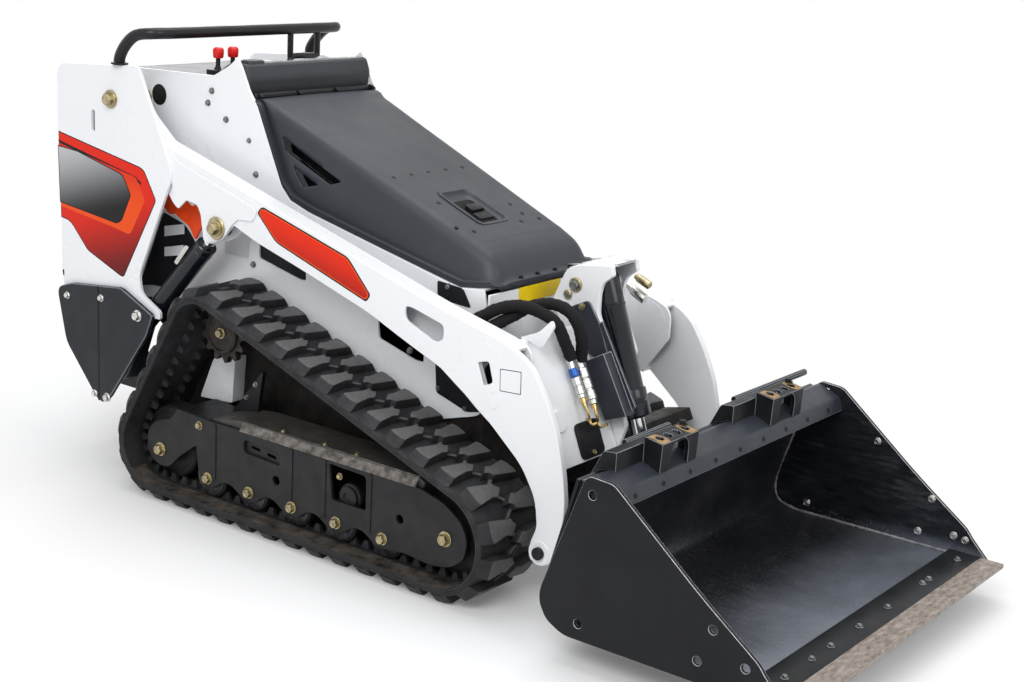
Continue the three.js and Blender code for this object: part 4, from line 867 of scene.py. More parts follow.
# ------------------------------ drive sprockets
# A cast steel sprocket of thirteen blunt teeth on a hydraulic motor, with one zinc-plated bolt in its dished
# hub. The dark iron is stained with rust, and a white gusset below carries the motor.
SPROCKET_AT = (-600.0, 505.0)
TOOTH_COUNT = 13
stained_iron = plain_finish("stained_iron", (0.032, 0.026, 0.022), (0.4, 0.7), metallic=0.5, spread=0.7,
                            patch=22.0, grain=(240.0, 0.0006))
tooth_angle = np.arange(TOOTH_COUNT * 8) * 2 * math.pi / (TOOTH_COUNT * 8)
# The toothed rim's radius swings between root and tip, flattened at both by the hyperbolic tangent.
tooth_radius = 76 + 9 * np.tanh(2.2 * np.cos(tooth_angle * TOOTH_COUNT)) / math.tanh(2.2)
toothed = np.stack([SPROCKET_AT[0] + tooth_radius * np.cos(tooth_angle),
                    SPROCKET_AT[1] + tooth_radius * np.sin(tooth_angle)], -1) / 1000
lightening = [circle(SPROCKET_AT[0] + 48 * math.cos(a), SPROCKET_AT[1] + 48 * math.sin(a), 7, 14)
              for a in np.arange(6) * math.pi / 3]
sprocket_hub = turned((-0.6, -0.404, 0.505), (-0.6, -0.247, 0.505),
                      [(0.005, 0.006), (0.005, 0.048), (0.0, 0.050), (0.0, 0.055), (0.003, 0.058),
                       (0.032, 0.058), (0.036, 0.058), (0.060, 0.060), (0.064, 0.062), (0.1566, 0.062)], 32)
sprocket = joined([plate(toothed, -392, -372, 2.5, holes=lightening), sprocket_hub])
make_pair("sprocket", sprocket, stained_iron, hides="drive_sprocket")
make_pair("sprocket_bolts", bolted([(SPROCKET_AT[0], -399, SPROCKET_AT[1], 10)]), zinc_yellow,
          flat=False)


# ------------------------------ hull and engine
# The tub between the tracks, welded from steel plate, and the engine bolted down in it. Both are black and
# dusty, and show only through the openings.
hull_black = dusty(plain_finish("hull_black", (0.008, 0.008, 0.009), (0.45, 0.65), spread=0.35,
                                grain=(300.0, 0.0002), shine=0.15), (0.12, 0.09, 0.06), 0.1, 0.9, 0.3)
for name, slot_name in (("hull", "charcoal_paint"), ("engine_block", "engine_paint")):
    refined(name, hull_black, 3.0, "chassis")


# ------------------------------ white body sides and towers
# Laser-cut steel plates in glossy white enamel. The tower's outer plate carries the arm's pivot and the big
# red decal; the body side behind it has dark windows, black guards and a row of bolts.
def enamel(name, colour, dust=0.0):
    """Glossy cool-white enamel: hardly mottled, with a fine orange-peel relief and a clear hard surface."""
    made = plain_finish(name, colour, (0.26, 0.31), spread=0.006, patch=2.5, grain=(160.0, 0.00003), coat=0.2)
    return dusty(made, (0.33, 0.28, 0.23), 0.15, 0.9, dust) if dust else made


def faded(name, low, high, z_low, z_high, lean=0.0):
    """Printed film that turns from one colour to the other with height, and with x by the share lean."""
    made, tree, shader = new_material(name)
    place = add_node(tree, "ShaderNodeSeparateXYZ", {"Vector": object_place(tree)}).outputs
    tilted = combined(tree, "MULTIPLY_ADD", place["X"], lean, place["Z"])
    share = ramped(tree, tilted, z_low, z_high, 0.0, 1.0, "SMOOTHSTEP")
    fill(tree, shader, {"Base Color": overlaid(tree, share, (*low, 1), (*high, 1)),
                        "Roughness": uneven_gloss(tree, 0.28, 0.36, 30.0), "Specular IOR Level": 0.2})
    return made


def film(corners, y, thick):
    """A printed decal: a thin sheet whose back lies at y millimetres, on a plate's outer face."""
    return plate(rounded(corners, 5), y, y - thick, 0.12)


white_enamel = enamel("white_enamel", (0.82, 0.835, 0.86))
lower_white = enamel("lower_white", (0.78, 0.795, 0.82), dust=0.2)
decal_black = plain_finish("decal_black", (0.008, 0.008, 0.009), (0.3, 0.4), spread=0.2, shine=0.15)
TOWER_CORNERS = [(-1300, 1149, 14), (-1277, 1170, 12), (-958, 1192, 10), (-945, 1176, 10), (-818, 922, 14),
                 (-817, 900, 10), (-950, 604, 20), (-942, 552, 20), (-862, 512, 10), (-862, 489, 6),
                 (-1278, 489), (-1287, 713, 10), (-1300, 970, 10)]
TOWER_FACE, PIVOT_X, PIVOT_Z = -385, -1065, 1089
tower_plate = plate(rounded(TOWER_CORNERS), TOWER_FACE, -375, 1.6,
                    holes=[rectangle(-1152, 1050, -1136, 988, 8), circle(PIVOT_X, PIVOT_Z, 20.3)])
tower_rear = plate(rectangle(-1300, 540, -1290, 1140, 3), -376, -248, 1.2)
tower_foot = plate([(-1.288, 0.489), (-1.300, 0.560), (-1.290, 0.560), (-1.270, 0.489)], -376, -254.3, 0.8)
TOWER_RED = [(-1298, 974), (-1291, 972, 4), (-942, 914, 10), (-925, 905, 8), (-879, 832, 8), (-879, 823, 6),
             (-1013, 587, 6), (-1026, 585, 8), (-1173, 638, 10), (-1250, 713, 20), (-1291, 718)]
TOWER_GROOVE = [(-1297, 948), (-1291, 945, 6), (-963, 884, 8), (-938, 869, 8), (-940, 862, 6), (-966, 877, 8),
                (-1291, 937, 6), (-1297, 940)]
TOWER_CHEVRON = [(-1297, 937), (-1024, 892, 10), (-961, 882, 12), (-923, 822, 8), (-982, 721, 8),
                 (-995, 715, 8), (-1051, 724, 8), (-1290, 752)]
TOWER_BADGE = [(-1297, 927), (-1214, 922, 6), (-1026, 882, 10), (-1013, 874, 8), (-985, 828, 8),
               (-1023, 752, 8), (-1040, 742, 8), (-1051, 741, 6), (-1285, 765, 4), (-1291, 766)]


def outset(corners, by):
    """The same outline a few millimetres bigger: each corner moves out halfway between its two sides' own
    outward directions."""
    table = np.array([(*corner, 0.0)[:3] for corner in corners], float)
    at = table[:, :2]
    ahead = np.roll(at, -1, axis=0) - at
    ahead /= np.linalg.norm(ahead, axis=1)[:, None]
    area = np.sum(at[:, 0] * np.roll(at[:, 1], -1) - np.roll(at[:, 0], -1) * at[:, 1])
    normal = np.stack([ahead[:, 1], -ahead[:, 0]], -1) * np.sign(area)
    middle = normal + np.roll(normal, 1, axis=0)
    middle /= np.maximum(np.sum(middle * normal, axis=1), 0.35)[:, None]
    return [tuple(row) for row in np.column_stack([at + middle * by, table[:, 2]])]


badge_grey = faded("badge_grey", (0.006, 0.006, 0.007), (0.50, 0.51, 0.53), 1.09, 1.34, lean=-0.30)
decal_red = faded("tower_red", (0.13, 0.003, 0.003), (0.70, 0.016, 0.003), 0.90, 1.13, lean=-0.30)
chevron_orange = faded("chevron_orange", (0.80, 0.075, 0.004), (0.66, 0.020, 0.003), 0.78, 0.93)
make_pair("tower_plate", joined([tower_plate, tower_rear, tower_foot]), white_enamel,
          hides="tower")
# Each layer of the decal lies on the one before it: (name, outline, height on the plate, finish, thickness).
TOWER_DECAL = [("outline", outset(TOWER_RED, -1), 0, decal_black, 0.3),
               ("red", outset(TOWER_RED, -4), 0.3, decal_red, 0.25),
               ("groove", TOWER_GROOVE, 0.55, decal_black, 0.15),
               ("chevron", TOWER_CHEVRON, 0.55, chevron_orange, 0.25),
               ("badge_line", outset(TOWER_BADGE, 3), 0.8, decal_black, 0.15),
               ("badge", TOWER_BADGE, 0.95, badge_grey, 0.25)]
for layer, corners, height, finish, thick in TOWER_DECAL:
    make_pair(f"tower_decal_{layer}", film(corners, TOWER_FACE - height, thick), finish)
BODY_CORNERS = [(-1289.7, 540, 4), (-1289.7, 1150, 4), (-1124, 1167), (-793, 1176, 10), (-731, 1209, 20),
                (-700, 1234, 6), (-680, 1205, 6), (-653, 1150), (-634, 1125), (-621, 1110), (-525.5, 905.5),
                (-491.5, 871.5), (-423.5, 849.5), (99.5, 735.5), (181.5, 744.5), (196, 690), (196, 420, 30),
                (60, 380), (-250, 440), (-500, 300), (-520, 200), (-900, 200), (-930, 380), (-1100, 500)]
WINDOWS = [[(-607, 753, 8), (-427, 700, 8), (-426, 660, 8), (-452, 660, 6), (-606, 694, 6)],
           [(-168, 627, 8), (-5, 578, 8), (-2, 519, 8), (-30, 519, 6), (-158, 553, 8)]]
body_plate = plate(rounded(BODY_CORNERS), -254, -246.3, 1.2,
                   holes=[*[rounded(window) for window in WINDOWS], circle(-600, 505, 63, 40)])
# A black disc on the side plate is painted shade for the dark inside of a round opening.
opening_shade_disc = plate(circle(-1013, 1100, 30), -254.6, -254.3, 0.1)
# Inside the track's loop a black sheet on the body is painted shade.
loop_shade = plate(rounded([(-690, 520), (-640, 590, 20), (-560, 580), (60, 358), (150, 325), (150, 200),
                            (-900, 200), (-930, 380), (-1090, 500)]), -255, -254.3, 0.1)
HOOD_SEAM = [(182, 745), (100, 736), (-423, 850), (-491, 872), (-525, 906), (-621, 1111)]
shelf_outline = [(x - 0.35, z - 0.35) for x, z in HOOD_SEAM]
shelf_outline += [(x - 8, z - 8) for x, z in reversed(HOOD_SEAM)]
body_shelf = plate(rounded(shelf_outline), -253, -195, 0.6)
# Thin black sheets close the windows from inside, and black guards are bolted on outside.
GUARDS = [[(-993, 764, 8), (-1097, 529, 8), (-1040, 540, 8), (-930, 545, 10), (-820, 652, 20),
           (-883, 723, 10), (-908, 742, 10)],
          [(38, 540, 8), (84, 544, 8), (201, 432, 10), (150, 420, 8), (46, 450, 8)],
          [(34, 744, 6), (118, 738, 10), (147, 692, 10), (70, 696, 8), (36, 707, 6)]]
STRIPES = [[(-988, 724), (-904, 743), (-904, 714), (-988, 694)],
           [(-988, 662), (-908, 681), (-908, 651), (-988, 635)]]
BODY_BOLTS = [(-797, 1134, 6), (-812, 1099, 6), (-740, 1061, 6), (-650, 1014, 5), (-621, 925, 6),
              (-626, 672, 6), (-49, 542, 6), (70, 734, 6), (53, 463, 6), (143, 429, 6)]
window_sheets = [plate(rounded(outset(window, 8)), -246, -243, 0.5) for window in WINDOWS]
guard_sheets = [plate(rounded(guard), -256.5, -254.3, 0.6) for guard in GUARDS]
stripes = [plate(rounded(stripe), -256.9, -256.5, 0.1) for stripe in STRIPES]
label = plate(rounded([(-701, 764, 5), (-634, 744, 5), (-643, 729, 3), (-645, 685, 5), (-740, 685, 5),
                       (-740, 717, 4), (-716, 727, 4)]), -254.9, -254.3, 0.2)
pale_label = plain_finish("pale_label", (0.60, 0.61, 0.62), (0.35, 0.45), spread=0.05, patch=30.0)
make_pair("body_plate", joined([body_plate, body_shelf]), white_enamel, hides="body_side")
make_pair("body_guards_and_opening_shade", joined([*window_sheets, *guard_sheets, opening_shade_disc]), black_paint)
# The black sheet inside the track's loop is painted shade.
make_pair("body_shade", loop_shade, hull_black, flat=False)
make_pair("body_stripes", joined(stripes), white_enamel)
make_pair("body_label", label, pale_label)
make_pair("body_bolts", bolted([(x, -254, z, size) for x, z, size in BODY_BOLTS]), dark_steel,
          flat=False)
MOTOR_GUSSET = [(-647, 410, 10), (-732, 392, 16), (-788, 262, 10), (-657, 272, 6)]
make_pair("motor_gusset", plate(rounded(MOTOR_GUSSET), -300, -254.5, 2.0), lower_white)
PIVOT_AT = np.array([PIVOT_X, 0, PIVOT_Z]) / 1000
pivot_washers = turned(PIVOT_AT - [0, 0.3853, 0], PIVOT_AT - [0, 0.4015, 0],
                       [(0.0, 0.022), (0.0, 0.026), (0.003, 0.0265), (0.004, 0.022), (0.010, 0.022),
                        (0.010, 0.013), (0.0160, 0.013)])
pivot_shaft = turned(PIVOT_AT - [0, 0.386, 0], PIVOT_AT - [0, 0.2543, 0],
                     [(0.0, 0.010), (0.0, 0.020), (0.1317, 0.020)])
pivot_bolt = bolted([(PIVOT_X, -388, PIVOT_Z, 15)])
make_pair("arm_pivot", joined([pivot_washers, pivot_shaft, pivot_bolt]), zinc_yellow,
          flat=False, hides="pivot_pin")


# ------------------------------ rear guards
# A folded steel guard below each tower covers the foot of the lift cylinder, painted blue-black, in two
# leaves with bevelled upper edges and grey-headed bolts.
guard_black = plain_finish("guard_black", (0.014, 0.016, 0.021), (0.34, 0.5), spread=0.22, patch=7.0,
                           grain=(420.0, 0.00012), shine=0.25)
# A lighter blue-grey for the rounded edges: a painted highlight along them.
guard_edge_highlight = plain_finish("guard_edge_highlight", (0.14, 0.155, 0.18), (0.3, 0.45), spread=0.2, patch=20.0)
# The guards' rounded edges carry the lighter blue-grey as a painted highlight.
for side in ("right", "left"):
    refined(f"rear_guard_{side}", [guard_black, guard_edge_highlight], 3.0, "chassis", highlight_layer=1)
GUARD_FACE = -399.3
split = plate([(-1.1135, 0.20), (-1.1085, 0.20), (-1.1085, 0.545), (-1.1135, 0.545)], -399.9, -399.2, 0.1)
make_pair("guard_split", split, decal_black, flat=False)
guard_bolts = bolted([(x, GUARD_FACE, z, size) for x, z, size in (
    (-1248, 493, 7), (-1097, 512, 7), (-939, 489, 11), (-1128, 218, 7), (-1073, 217, 9))])
make_pair("guard_bolts", guard_bolts, zinc_silver, flat=False)


# ------------------------------ lift arms
# Each arm is a box welded from bent plates, with a thick cast-looking nose and a doubler plate round the
# lift cylinder's pin. White enamel, with slots, a red decal with no lettering, and a bare label plate.
ARM_CORNERS = [(-1065, 1148, 20), (-1015, 1136, 15), (-960, 1055, 20), (-879, 990, 10), (-341, 842, 60),
               (139, 708, 60), (335, 664, 20), (389, 641, 34), (389, 560, 10), (311, 451, 10), (270, 477, 12),
               (229, 507, 12), (188, 542, 12), (147, 559, 20), (30, 603, 40), (-92, 652, 40), (-336, 725, 60),
               (-505, 771, 30), (-587, 802, 8), (-630, 755, 10), (-672, 736, 12), (-703, 743, 10),
               (-715, 811, 12), (-729, 836, 8), (-773, 844, 8), (-806, 814, 8), (-826, 828, 8),
               (-870, 880, 20), (-1040, 1032, 20), (-1095, 1040, 20), (-1125, 1089, 20)]
ARM_LONG_SLOT = [(26, 694, 12), (49, 694, 12), (152, 668, 12), (153, 630, 14), (127, 621, 10), (28, 660, 14)]
ARM_HAND_SLOT = [(263, 597, 6), (297, 606, 8), (312, 556, 6), (286, 541, 6)]
DOUBLER = [(-860, 999, 6), (-799, 946, 4), (-504, 863, 4), (-496, 851, 8), (-511, 824, 8), (-567, 821, 10),
           (-590, 801, 8), (-624, 757, 8), (-686, 738, 14), (-698, 745, 8), (-709, 813, 8), (-723, 838, 10),
           (-767, 845, 8), (-799, 816, 6), (-819, 829, 4), (-823, 879, 14)]
NOSE = [(300, 671), (335, 664, 8), (389, 641, 20), (430, 612, 20), (473, 548, 30), (511, 470, 30),
        (535, 376, 30), (546, 300, 30), (540, 215, 20), (512, 140, 15), (480, 128, 20), (448, 140, 15),
        (450, 180, 10), (467, 225, 12), (458, 293, 30), (411, 368, 30), (311, 451, 20), (229, 507),
        (147, 559)]
NOSE_INNER = [(292, 646, 6), (319, 661, 8), (344, 651, 8), (363, 635, 8), (381, 596, 8), (389, 560, 8),
              (311, 451, 10), (229, 507, 6), (240, 560, 8)]
arm_slots = [rounded(ARM_LONG_SLOT), rounded(ARM_HAND_SLOT)]
pin_hole = circle(PIVOT_X, PIVOT_Z, 20.8)
ARM_FACE = -370
arm_outer = plate(rounded(ARM_CORNERS), ARM_FACE, -362, 2.0, holes=[*arm_slots, pin_hole])
arm_inner = plate(rounded(ARM_CORNERS), -318, -310, 2.0, holes=[pin_hole])
nose_plate = plate(rounded(NOSE), -370.3, -352, 2.6, holes=[rounded(ARM_HAND_SLOT), circle(480, 162, 17)])
nose_inner = plate(rounded(NOSE_INNER), -318, -309.6, 2.2)


def bent_strip(upper, y0, y1, thick):
    """A bent strip along a line of (x, z) corners in millimetres: the line carried sideways, and thick
    millimetres deep square to the line."""
    upper = np.asarray(upper, float)
    ahead = np.gradient(upper, axis=0)
    ahead /= np.linalg.norm(ahead, axis=1)[:, None]
    below = upper + np.stack([ahead[:, 1], -ahead[:, 0]], -1) * thick
    return plate(np.concatenate([upper, below[::-1]]) / 1000, y0, y1, 0.4)


ARM_TOP = [(-1015, 1135.6), (-960, 1054.6), (-879, 989.8), (-341, 841.8), (139, 707.8), (335, 663.8),
           (372, 648)]
ARM_UNDER = [(311, 451.4), (270, 477.4), (229, 507.4), (188, 542.4), (147, 559.4), (30, 603.4), (-92, 652.4),
             (-336, 725.4), (-505, 771.4), (-587, 802.4)]
arm_top = bent_strip(ARM_TOP, -366, -314, 8)
arm_under = bent_strip(ARM_UNDER, -366, -314, 8)
nose_boss = bushing(np.array([0.480, -0.346, 0.162]), 0.026, 0.0175, 0.032, 0.002)
doubler_plate = plate(rounded(DOUBLER), -376, -370.2, 1.8)
tab_plate = plate(rounded([(280, 543, 6), (314, 553, 8), (338, 505, 6), (312, 484, 8), (298, 501, 8)]), -372,
                  -370.3, 0.7, holes=[circle(318, 528, 5)])
ARM_DECAL = [(-495, 850, 8), (-480, 868, 12), (-198, 791, 8), (-170, 783, 14), (-91, 700, 8), (-104, 682, 8),
             (-426, 783, 16)]
arm_red = faded("arm_red", (0.15, 0.003, 0.003), (0.74, 0.024, 0.004), 0.60, 0.74, lean=0.24)
arm_orange = plain_finish("arm_orange", (0.78, 0.085, 0.006), (0.28, 0.36), spread=0.1, shine=0.2)
pin_plate = turned((-0.645, -0.376, 0.786), (-0.645, -0.3815, 0.786),
                   [(0.0, 0.02), (0.0, 0.031), (0.0035, 0.032), (0.0055, 0.030), (0.0055, 0.02)], 32)
arm_parts = joined([arm_outer, arm_inner, nose_plate, nose_inner, arm_top, arm_under, nose_boss,
                    doubler_plate, tab_plate])
make_pair("arm", arm_parts, white_enamel, "lift_arms", hides="lift_arm")
make_pair("arm_pins", joined([pin_plate, bolted([(-645, -381.5, 786, 15)])]), zinc_yellow,
          "lift_arms", flat=False)
ARM_LABEL = [(333, 596, 3), (397, 601, 3), (399, 544, 3), (335, 540, 3)]
# Each layer lies on the one before it: (name, outline, height on the plate, finish).
ARM_FILMS = [("decal_outline", outset(ARM_DECAL, 2), 0.2, decal_black),
             ("decal_line", outset(ARM_DECAL, -2), 0.4, arm_orange),
             ("decal_red", outset(ARM_DECAL, -5), 0.6, arm_red),
             ("label_border", ARM_LABEL, 0.3, decal_black),
             ("label", outset(ARM_LABEL, -2), 0.5, white_enamel)]
for layer, corners, height, finish in ARM_FILMS:
    make_pair(f"arm_{layer}", film(corners, ARM_FACE - height, 0.2), finish, "lift_arms")
cylinder_tag = film([(-819, 662, 4), (-774, 718, 6), (-758, 715, 6), (-807, 656, 4)], -371.5, 0.6)
make_piece("cylinder_tag", cylinder_tag, zinc_silver, "lift_arms", flat=True)


# ------------------------------ cross member and tilt bracket
# A bent white plate joins the arms; two tall cheeks welded on it hold the tilt cylinder's upper pin between
# them, with hexagon-headed pins in turned collars.
def by_face(item, finish_of):
    """Gives each face of a piece one of its finishes, by the number that finish_of gives."""
    item.data.polygons.foreach_set("material_index", [int(finish_of(face)) for face in item.data.polygons])


cross_member = refined("cross_member", [white_enamel, hull_black], 2.2, "lift_arms", angle=25)
# The tube behind the tilt cylinder, left of the bent sheet, is black.
TUBE_FROM = -0.047
by_face(cross_member, lambda face: face.center.y > TUBE_FROM)
# A darker copy of the white enamel, for painted shade on faces turned away from the light.
painted_shade_white = enamel("painted_shade_white", (0.42, 0.43, 0.45))
tilt_bracket = refined("tilt_bracket", [white_enamel, painted_shade_white], 3.0, "lift_arms",
                       angle=40)
# The left cheek's inner face and the fold's underside get painted shade: a grey copy of the white enamel.
by_face(tilt_bracket, lambda face: (face.center.y > 0.02 and face.normal.y < -0.8) or face.normal.z < -0.8)
gusset = plate(rounded([(321, 656, 8), (380, 681, 14), (416, 718, 10), (424, 700, 8), (392, 640, 16),
                        (352, 652, 8)]), -284, -276, 1.6)
make_piece("cross_gusset", gusset, white_enamel, "lift_arms", flat=True)
pin_heads = bolted([(328, -62.4, 757, 11), (306, -62.4, 728, 7)])
collars = joined([turned((x / 1000, -0.0622, z / 1000), (x / 1000, -0.068, z / 1000),
                         [(0.0, r - 0.009), (0.0, r), (0.004, r), (0.0058, r - 0.002), (0.0058, r - 0.009)])
                  for x, z, r in ((328, 757, 0.019), (306, 728, 0.0125))])
make_piece("tilt_pin_heads", pin_heads, dark_steel, "lift_arms")
make_piece("tilt_pin_collars", collars, zinc_yellow, "lift_arms")
# A brass and a silver sleeve point forward beside the left cheek, the silver one on a cranked tube.
SLEEVE = [(0.0, 0.004), (0.0, 0.007), (0.006, 0.008), (0.012, 0.011), (0.046, 0.011), (0.049, 0.008),
          (0.049, 0.004)]
brass_sleeve = turned((0.414, 0.080, 0.774), (0.462, 0.080, 0.754), SLEEVE)
silver_sleeve = turned((0.398, 0.080, 0.743), (0.450, 0.080, 0.717),
                       [(d * 1.15, r * 1.25) for d, r in SLEEVE])
crank_line = np.array([(380, 64, 752), (380, 80, 752), (392, 80, 746), (404, 80, 740)]) / 1000
crank = swept(smooth_route(crank_line, 24), 0.007, 14)
make_piece("tilt_sleeve_brass", brass_sleeve, zinc_yellow, "lift_arms")
make_piece("tilt_sleeve_silver", joined([silver_sleeve, crank]), zinc_silver, "lift_arms")


# ------------------------------ hood
# A moulded slate-grey hood with soft crests, a double-ridged flange along its seam, triangular vents in its
# sides, a recessed latch and small dimples. It is hinged at the back on a dark bar.
STATIONS = np.array([
    # x, top z, half width at the crest, half width at the flange, seam z
    (-642, 1124, 232, 247, 1121), (-624, 1130, 234, 247, 1114), (-600, 1124, 236, 247, 1062),
    (-584, 1116, 236, 247, 1030), (-525, 1092.4, 233, 247, 906), (-491, 1078.8, 230, 247, 872),
    (-423, 1051.5, 226, 247, 850), (-200, 962.2, 214, 245, 801.3), (60, 858, 198, 240, 744.8),
    (100, 842, 195, 238, 736), (125, 830.5, 193, 236, 738.6), (145, 818.5, 190, 233, 741),
    (160, 805, 186, 229, 743), (172, 789, 180, 224, 744.2), (181, 770, 172, 219, 745),
    (186, 757, 166, 216, 745.5)])
stations = np.concatenate([np.linspace(-642, -420, 36), np.linspace(-412, 96, 56), np.linspace(102, 186, 26)])
top, crest, flange, seam = (np.interp(stations, STATIONS[:, 0], STATIONS[:, k]) for k in range(1, 5))
smoothing = np.array([1, 4, 6, 4, 1]) / 16
top, crest, flange = (np.convolve(np.pad(row, 2, mode="edge"), smoothing, mode="valid")
                      for row in (top, crest, flange))
# The section runs from the flange up the wall and over the crest to the middle. The flange's steps are
# (outwards from its half width, above the seam), in millimetres.
flange_steps = np.array([(2.5, -1), (5, 0.5), (5, 4.5), (2.2, 5.5), (2.2, 11.5), (5, 12.5), (5, 16.5),
                         (2.5, 18), (-13, 18), (-16, 16.5)])
FLANGE_IN, FLANGE_TOP, CREST_REACH = 16.5, 16.0, 34.0
# The flange is lower where the nose runs out.
flange_height = np.clip((top - seam - 4) / 26, 0.35, 1.0)
wall_foot_y, wall_foot_z = flange - FLANGE_IN, seam + FLANGE_TOP * flange_height
room = np.maximum(top - wall_foot_z, 6)
crest_reach = np.minimum(CREST_REACH, room * 0.45)
wall_way = np.stack([crest - wall_foot_y, top - wall_foot_z], -1)
wall_length = np.linalg.norm(wall_way, axis=1)
wall_unit = wall_way / wall_length[:, None]
rows = [np.stack([flange + dy, seam + dz * flange_height], -1) for dy, dz in flange_steps]
for share in np.linspace(0.0, 1.0, 9):
    rows.append(np.stack([wall_foot_y, wall_foot_z], -1)
                + wall_unit * (share * (wall_length - crest_reach))[:, None])
# Over the crest the points follow (1-t)^2 before + 2t(1-t) crest + t^2 after, and then a flat parabola.
before = np.stack([crest, top], -1) - wall_unit * crest_reach[:, None]
after = np.stack([crest - crest_reach, top + 0.5], -1)
for t in np.linspace(0, 1, 9)[1:]:
    rows.append(before * (1 - t) ** 2 + np.stack([crest, top], -1) * 2 * t * (1 - t) + after * t ** 2)
for share in np.linspace(0, 1, 9)[1:]:
    rows.append(np.stack([(crest - crest_reach) * (1 - share), top + 0.5 + 2.5 * (1 - (1 - share) ** 2)], -1))
half = np.stack(rows, axis=1)
full = np.concatenate([half * [-1, 1], half[:, -2::-1]], axis=1) / 1000
hood_points = np.concatenate([np.broadcast_to(stations[:, None, None] / 1000, (*full.shape[:2], 1)), full],
                             axis=2)
# The foot of the nose turns out into a flat front flange.
nose_rows = []
for dx, squeeze, low, high in ((4, 1.0, 0.744, 0.7585), (16, 0.99, 0.744, 0.7585), (19, 0.975, 0.743, 0.7565),
                               (19.5, 0.973, 0.740, 0.740)):
    lip = hood_points[-1].copy()
    lip[:, 0] += dx / 1000
    lip[:, 1] *= squeeze
    lip[:, 2] = np.clip(lip[:, 2], low, high)
    nose_rows.append(lip)
hood_grid = np.concatenate([hood_points, np.array(nose_rows)])


def opened(item, prisms):
    """Cuts each prism's outline through the sheet and takes out what is inside: rows of (corner points, way
    through, test for the side), where the cutting planes hold the way through and each edge."""
    work = bmesh.new()
    work.from_mesh(item.data)
    for corners, through, wanted in prisms:
        corners, through = np.array(corners, float) / 1000, np.array(through, float)
        centre = corners.mean(axis=0)
        normals = np.cross(np.roll(corners, -1, axis=0) - corners, through)
        normals /= np.linalg.norm(normals, axis=1)[:, None]
        normals *= np.sign(np.sum((corners - centre) * normals, axis=1))[:, None]
        for corner, normal in zip(corners, normals):
            near = [face for face in work.faces if wanted(face.calc_center_median())]
            around_them = list({edge for face in near for edge in face.edges})
            corners_too = list({vert for face in near for vert in face.verts})
            bmesh.ops.bisect_plane(work, geom=near + around_them + corners_too, plane_co=corner,
                                   plane_no=normal, dist=1e-6)
        inside = [face for face in work.faces if wanted(face.calc_center_median())
                  and np.all(np.sum((np.array(face.calc_center_median()) - corners) * normals, axis=1) < 0)]
        bmesh.ops.delete(work, geom=inside, context="FACES")
    work.to_mesh(item.data)
    work.free()
    return item


hood_plastic = plain_finish("hood_plastic", (0.030, 0.033, 0.042), (0.38, 0.5), spread=0.1, patch=4.0,
                            grain=(1500.0, 0.00012), shine=0.35)
VENTS = [[(-546, 1038), (-333, 941), (-371, 929), (-534, 999)],
         [(-501, 958), (-412, 922), (-468, 909), (-492, 939)]]
LATCH = [(-112, -88, 927), (-112, 28, 927), (37, 28, 867), (37, -88, 867)]
prisms = [([(x, 0, z) for x, z in vent], (0, 1, 0), (lambda c, s=s: c.y * s > 0.19))
          for vent in VENTS for s in (1, -1)]
prisms.append((LATCH, (0.37, 0, 0.93), lambda c: c.z > 0.84 and abs(c.y) < 0.12))
hood = make_piece("hood_shell", (hood_grid.reshape(-1, 3), grid_faces(*hood_grid.shape[:2]).tolist()),
                  hood_plastic, "hood_lid", smooth=50, replaces=["hood"])
opened(hood, prisms)
hood.data.shade_smooth()
hood.data.set_sharp_from_angle(angle=math.radians(50))
wall = hood.modifiers.new("wall", "SOLIDIFY")
wall.thickness, wall.offset = 0.0045, -1
# The sloping top's rear and front ends, crown and half width, and the ways down through it and ahead on it.
HOOD_RIDGE, HOOD_NOSE, HOOD_CROWN, HOOD_HALF = (-584, 1116), (100, 842), 2.8, 200
HOOD_DOWN = np.array([-0.371, 0.0, -0.9286])
HOOD_AHEAD = np.array([0.9286, 0.0, -0.371])


def hood_top_at(x, y, lift=0.0):
    """A point on the hood's top, metres, from millimetres: the line from its rear ridge to its nose, with a
    crown that falls off with the square of the distance from the middle."""
    (x0, z0), (x1, z1) = HOOD_RIDGE, HOOD_NOSE
    share = (x - x0) / (x1 - x0)
    crown = HOOD_CROWN * (1 - (abs(y) / HOOD_HALF) ** 2)
    return np.array([x, y, z0 + (z1 - z0) * share + crown + lift]) / 1000


dimples = [(-206, y) for y in (-160, -89, -19, 55, 128)] + [
    (-76, -129), (28, -180), (57, -143), (24, 106), (55, 142), (54, 62), (-21, 110)]
dimple_parts = [turned(hood_top_at(x, y, 0.2), hood_top_at(x, y, 0.2) - HOOD_DOWN * 0.002, [
    (0.0, 0.0062), (0.0006, 0.0060), (0.0012, 0.0045), (0.0008, 0.0020)], 18) for x, y in dimples]
make_piece("hood_dimples", joined(dimple_parts), black_paint, "hood_lid")
corner_points = [hood_top_at(x, y, 0.0) for x, y, _ in LATCH]
tray_rows = []
for inset, depth in ((-0.007, -0.0016), (0.0, -0.0024), (0.004, -0.0016), (0.007, 0.004), (0.016, 0.009)):
    middle = np.mean(corner_points, axis=0)
    ring = []
    for a, b in zip(corner_points, corner_points[1:] + corner_points[:1]):
        for share in np.linspace(0.08, 0.92, 5):
            point = a + (b - a) * share
            inward = (middle - point) / np.linalg.norm(middle - point)
            ring.append(point + inward * inset + HOOD_DOWN * depth)
    tray_rows.append(ring)
tray = np.array(tray_rows)
tray_points = tray.reshape(-1, 3)
floor_ring = list(range(len(tray_points) - tray.shape[1], len(tray_points)))
tray_faces = [*grid_faces(*tray.shape[:2], wrap_columns=True).tolist(), floor_ring]
make_piece("latch_tray", (tray_points, tray_faces), hood_plastic, "hood_lid")
latch_black = plain_finish("latch_black", (0.004, 0.004, 0.005), (0.4, 0.6), spread=0.3, shine=0.1)


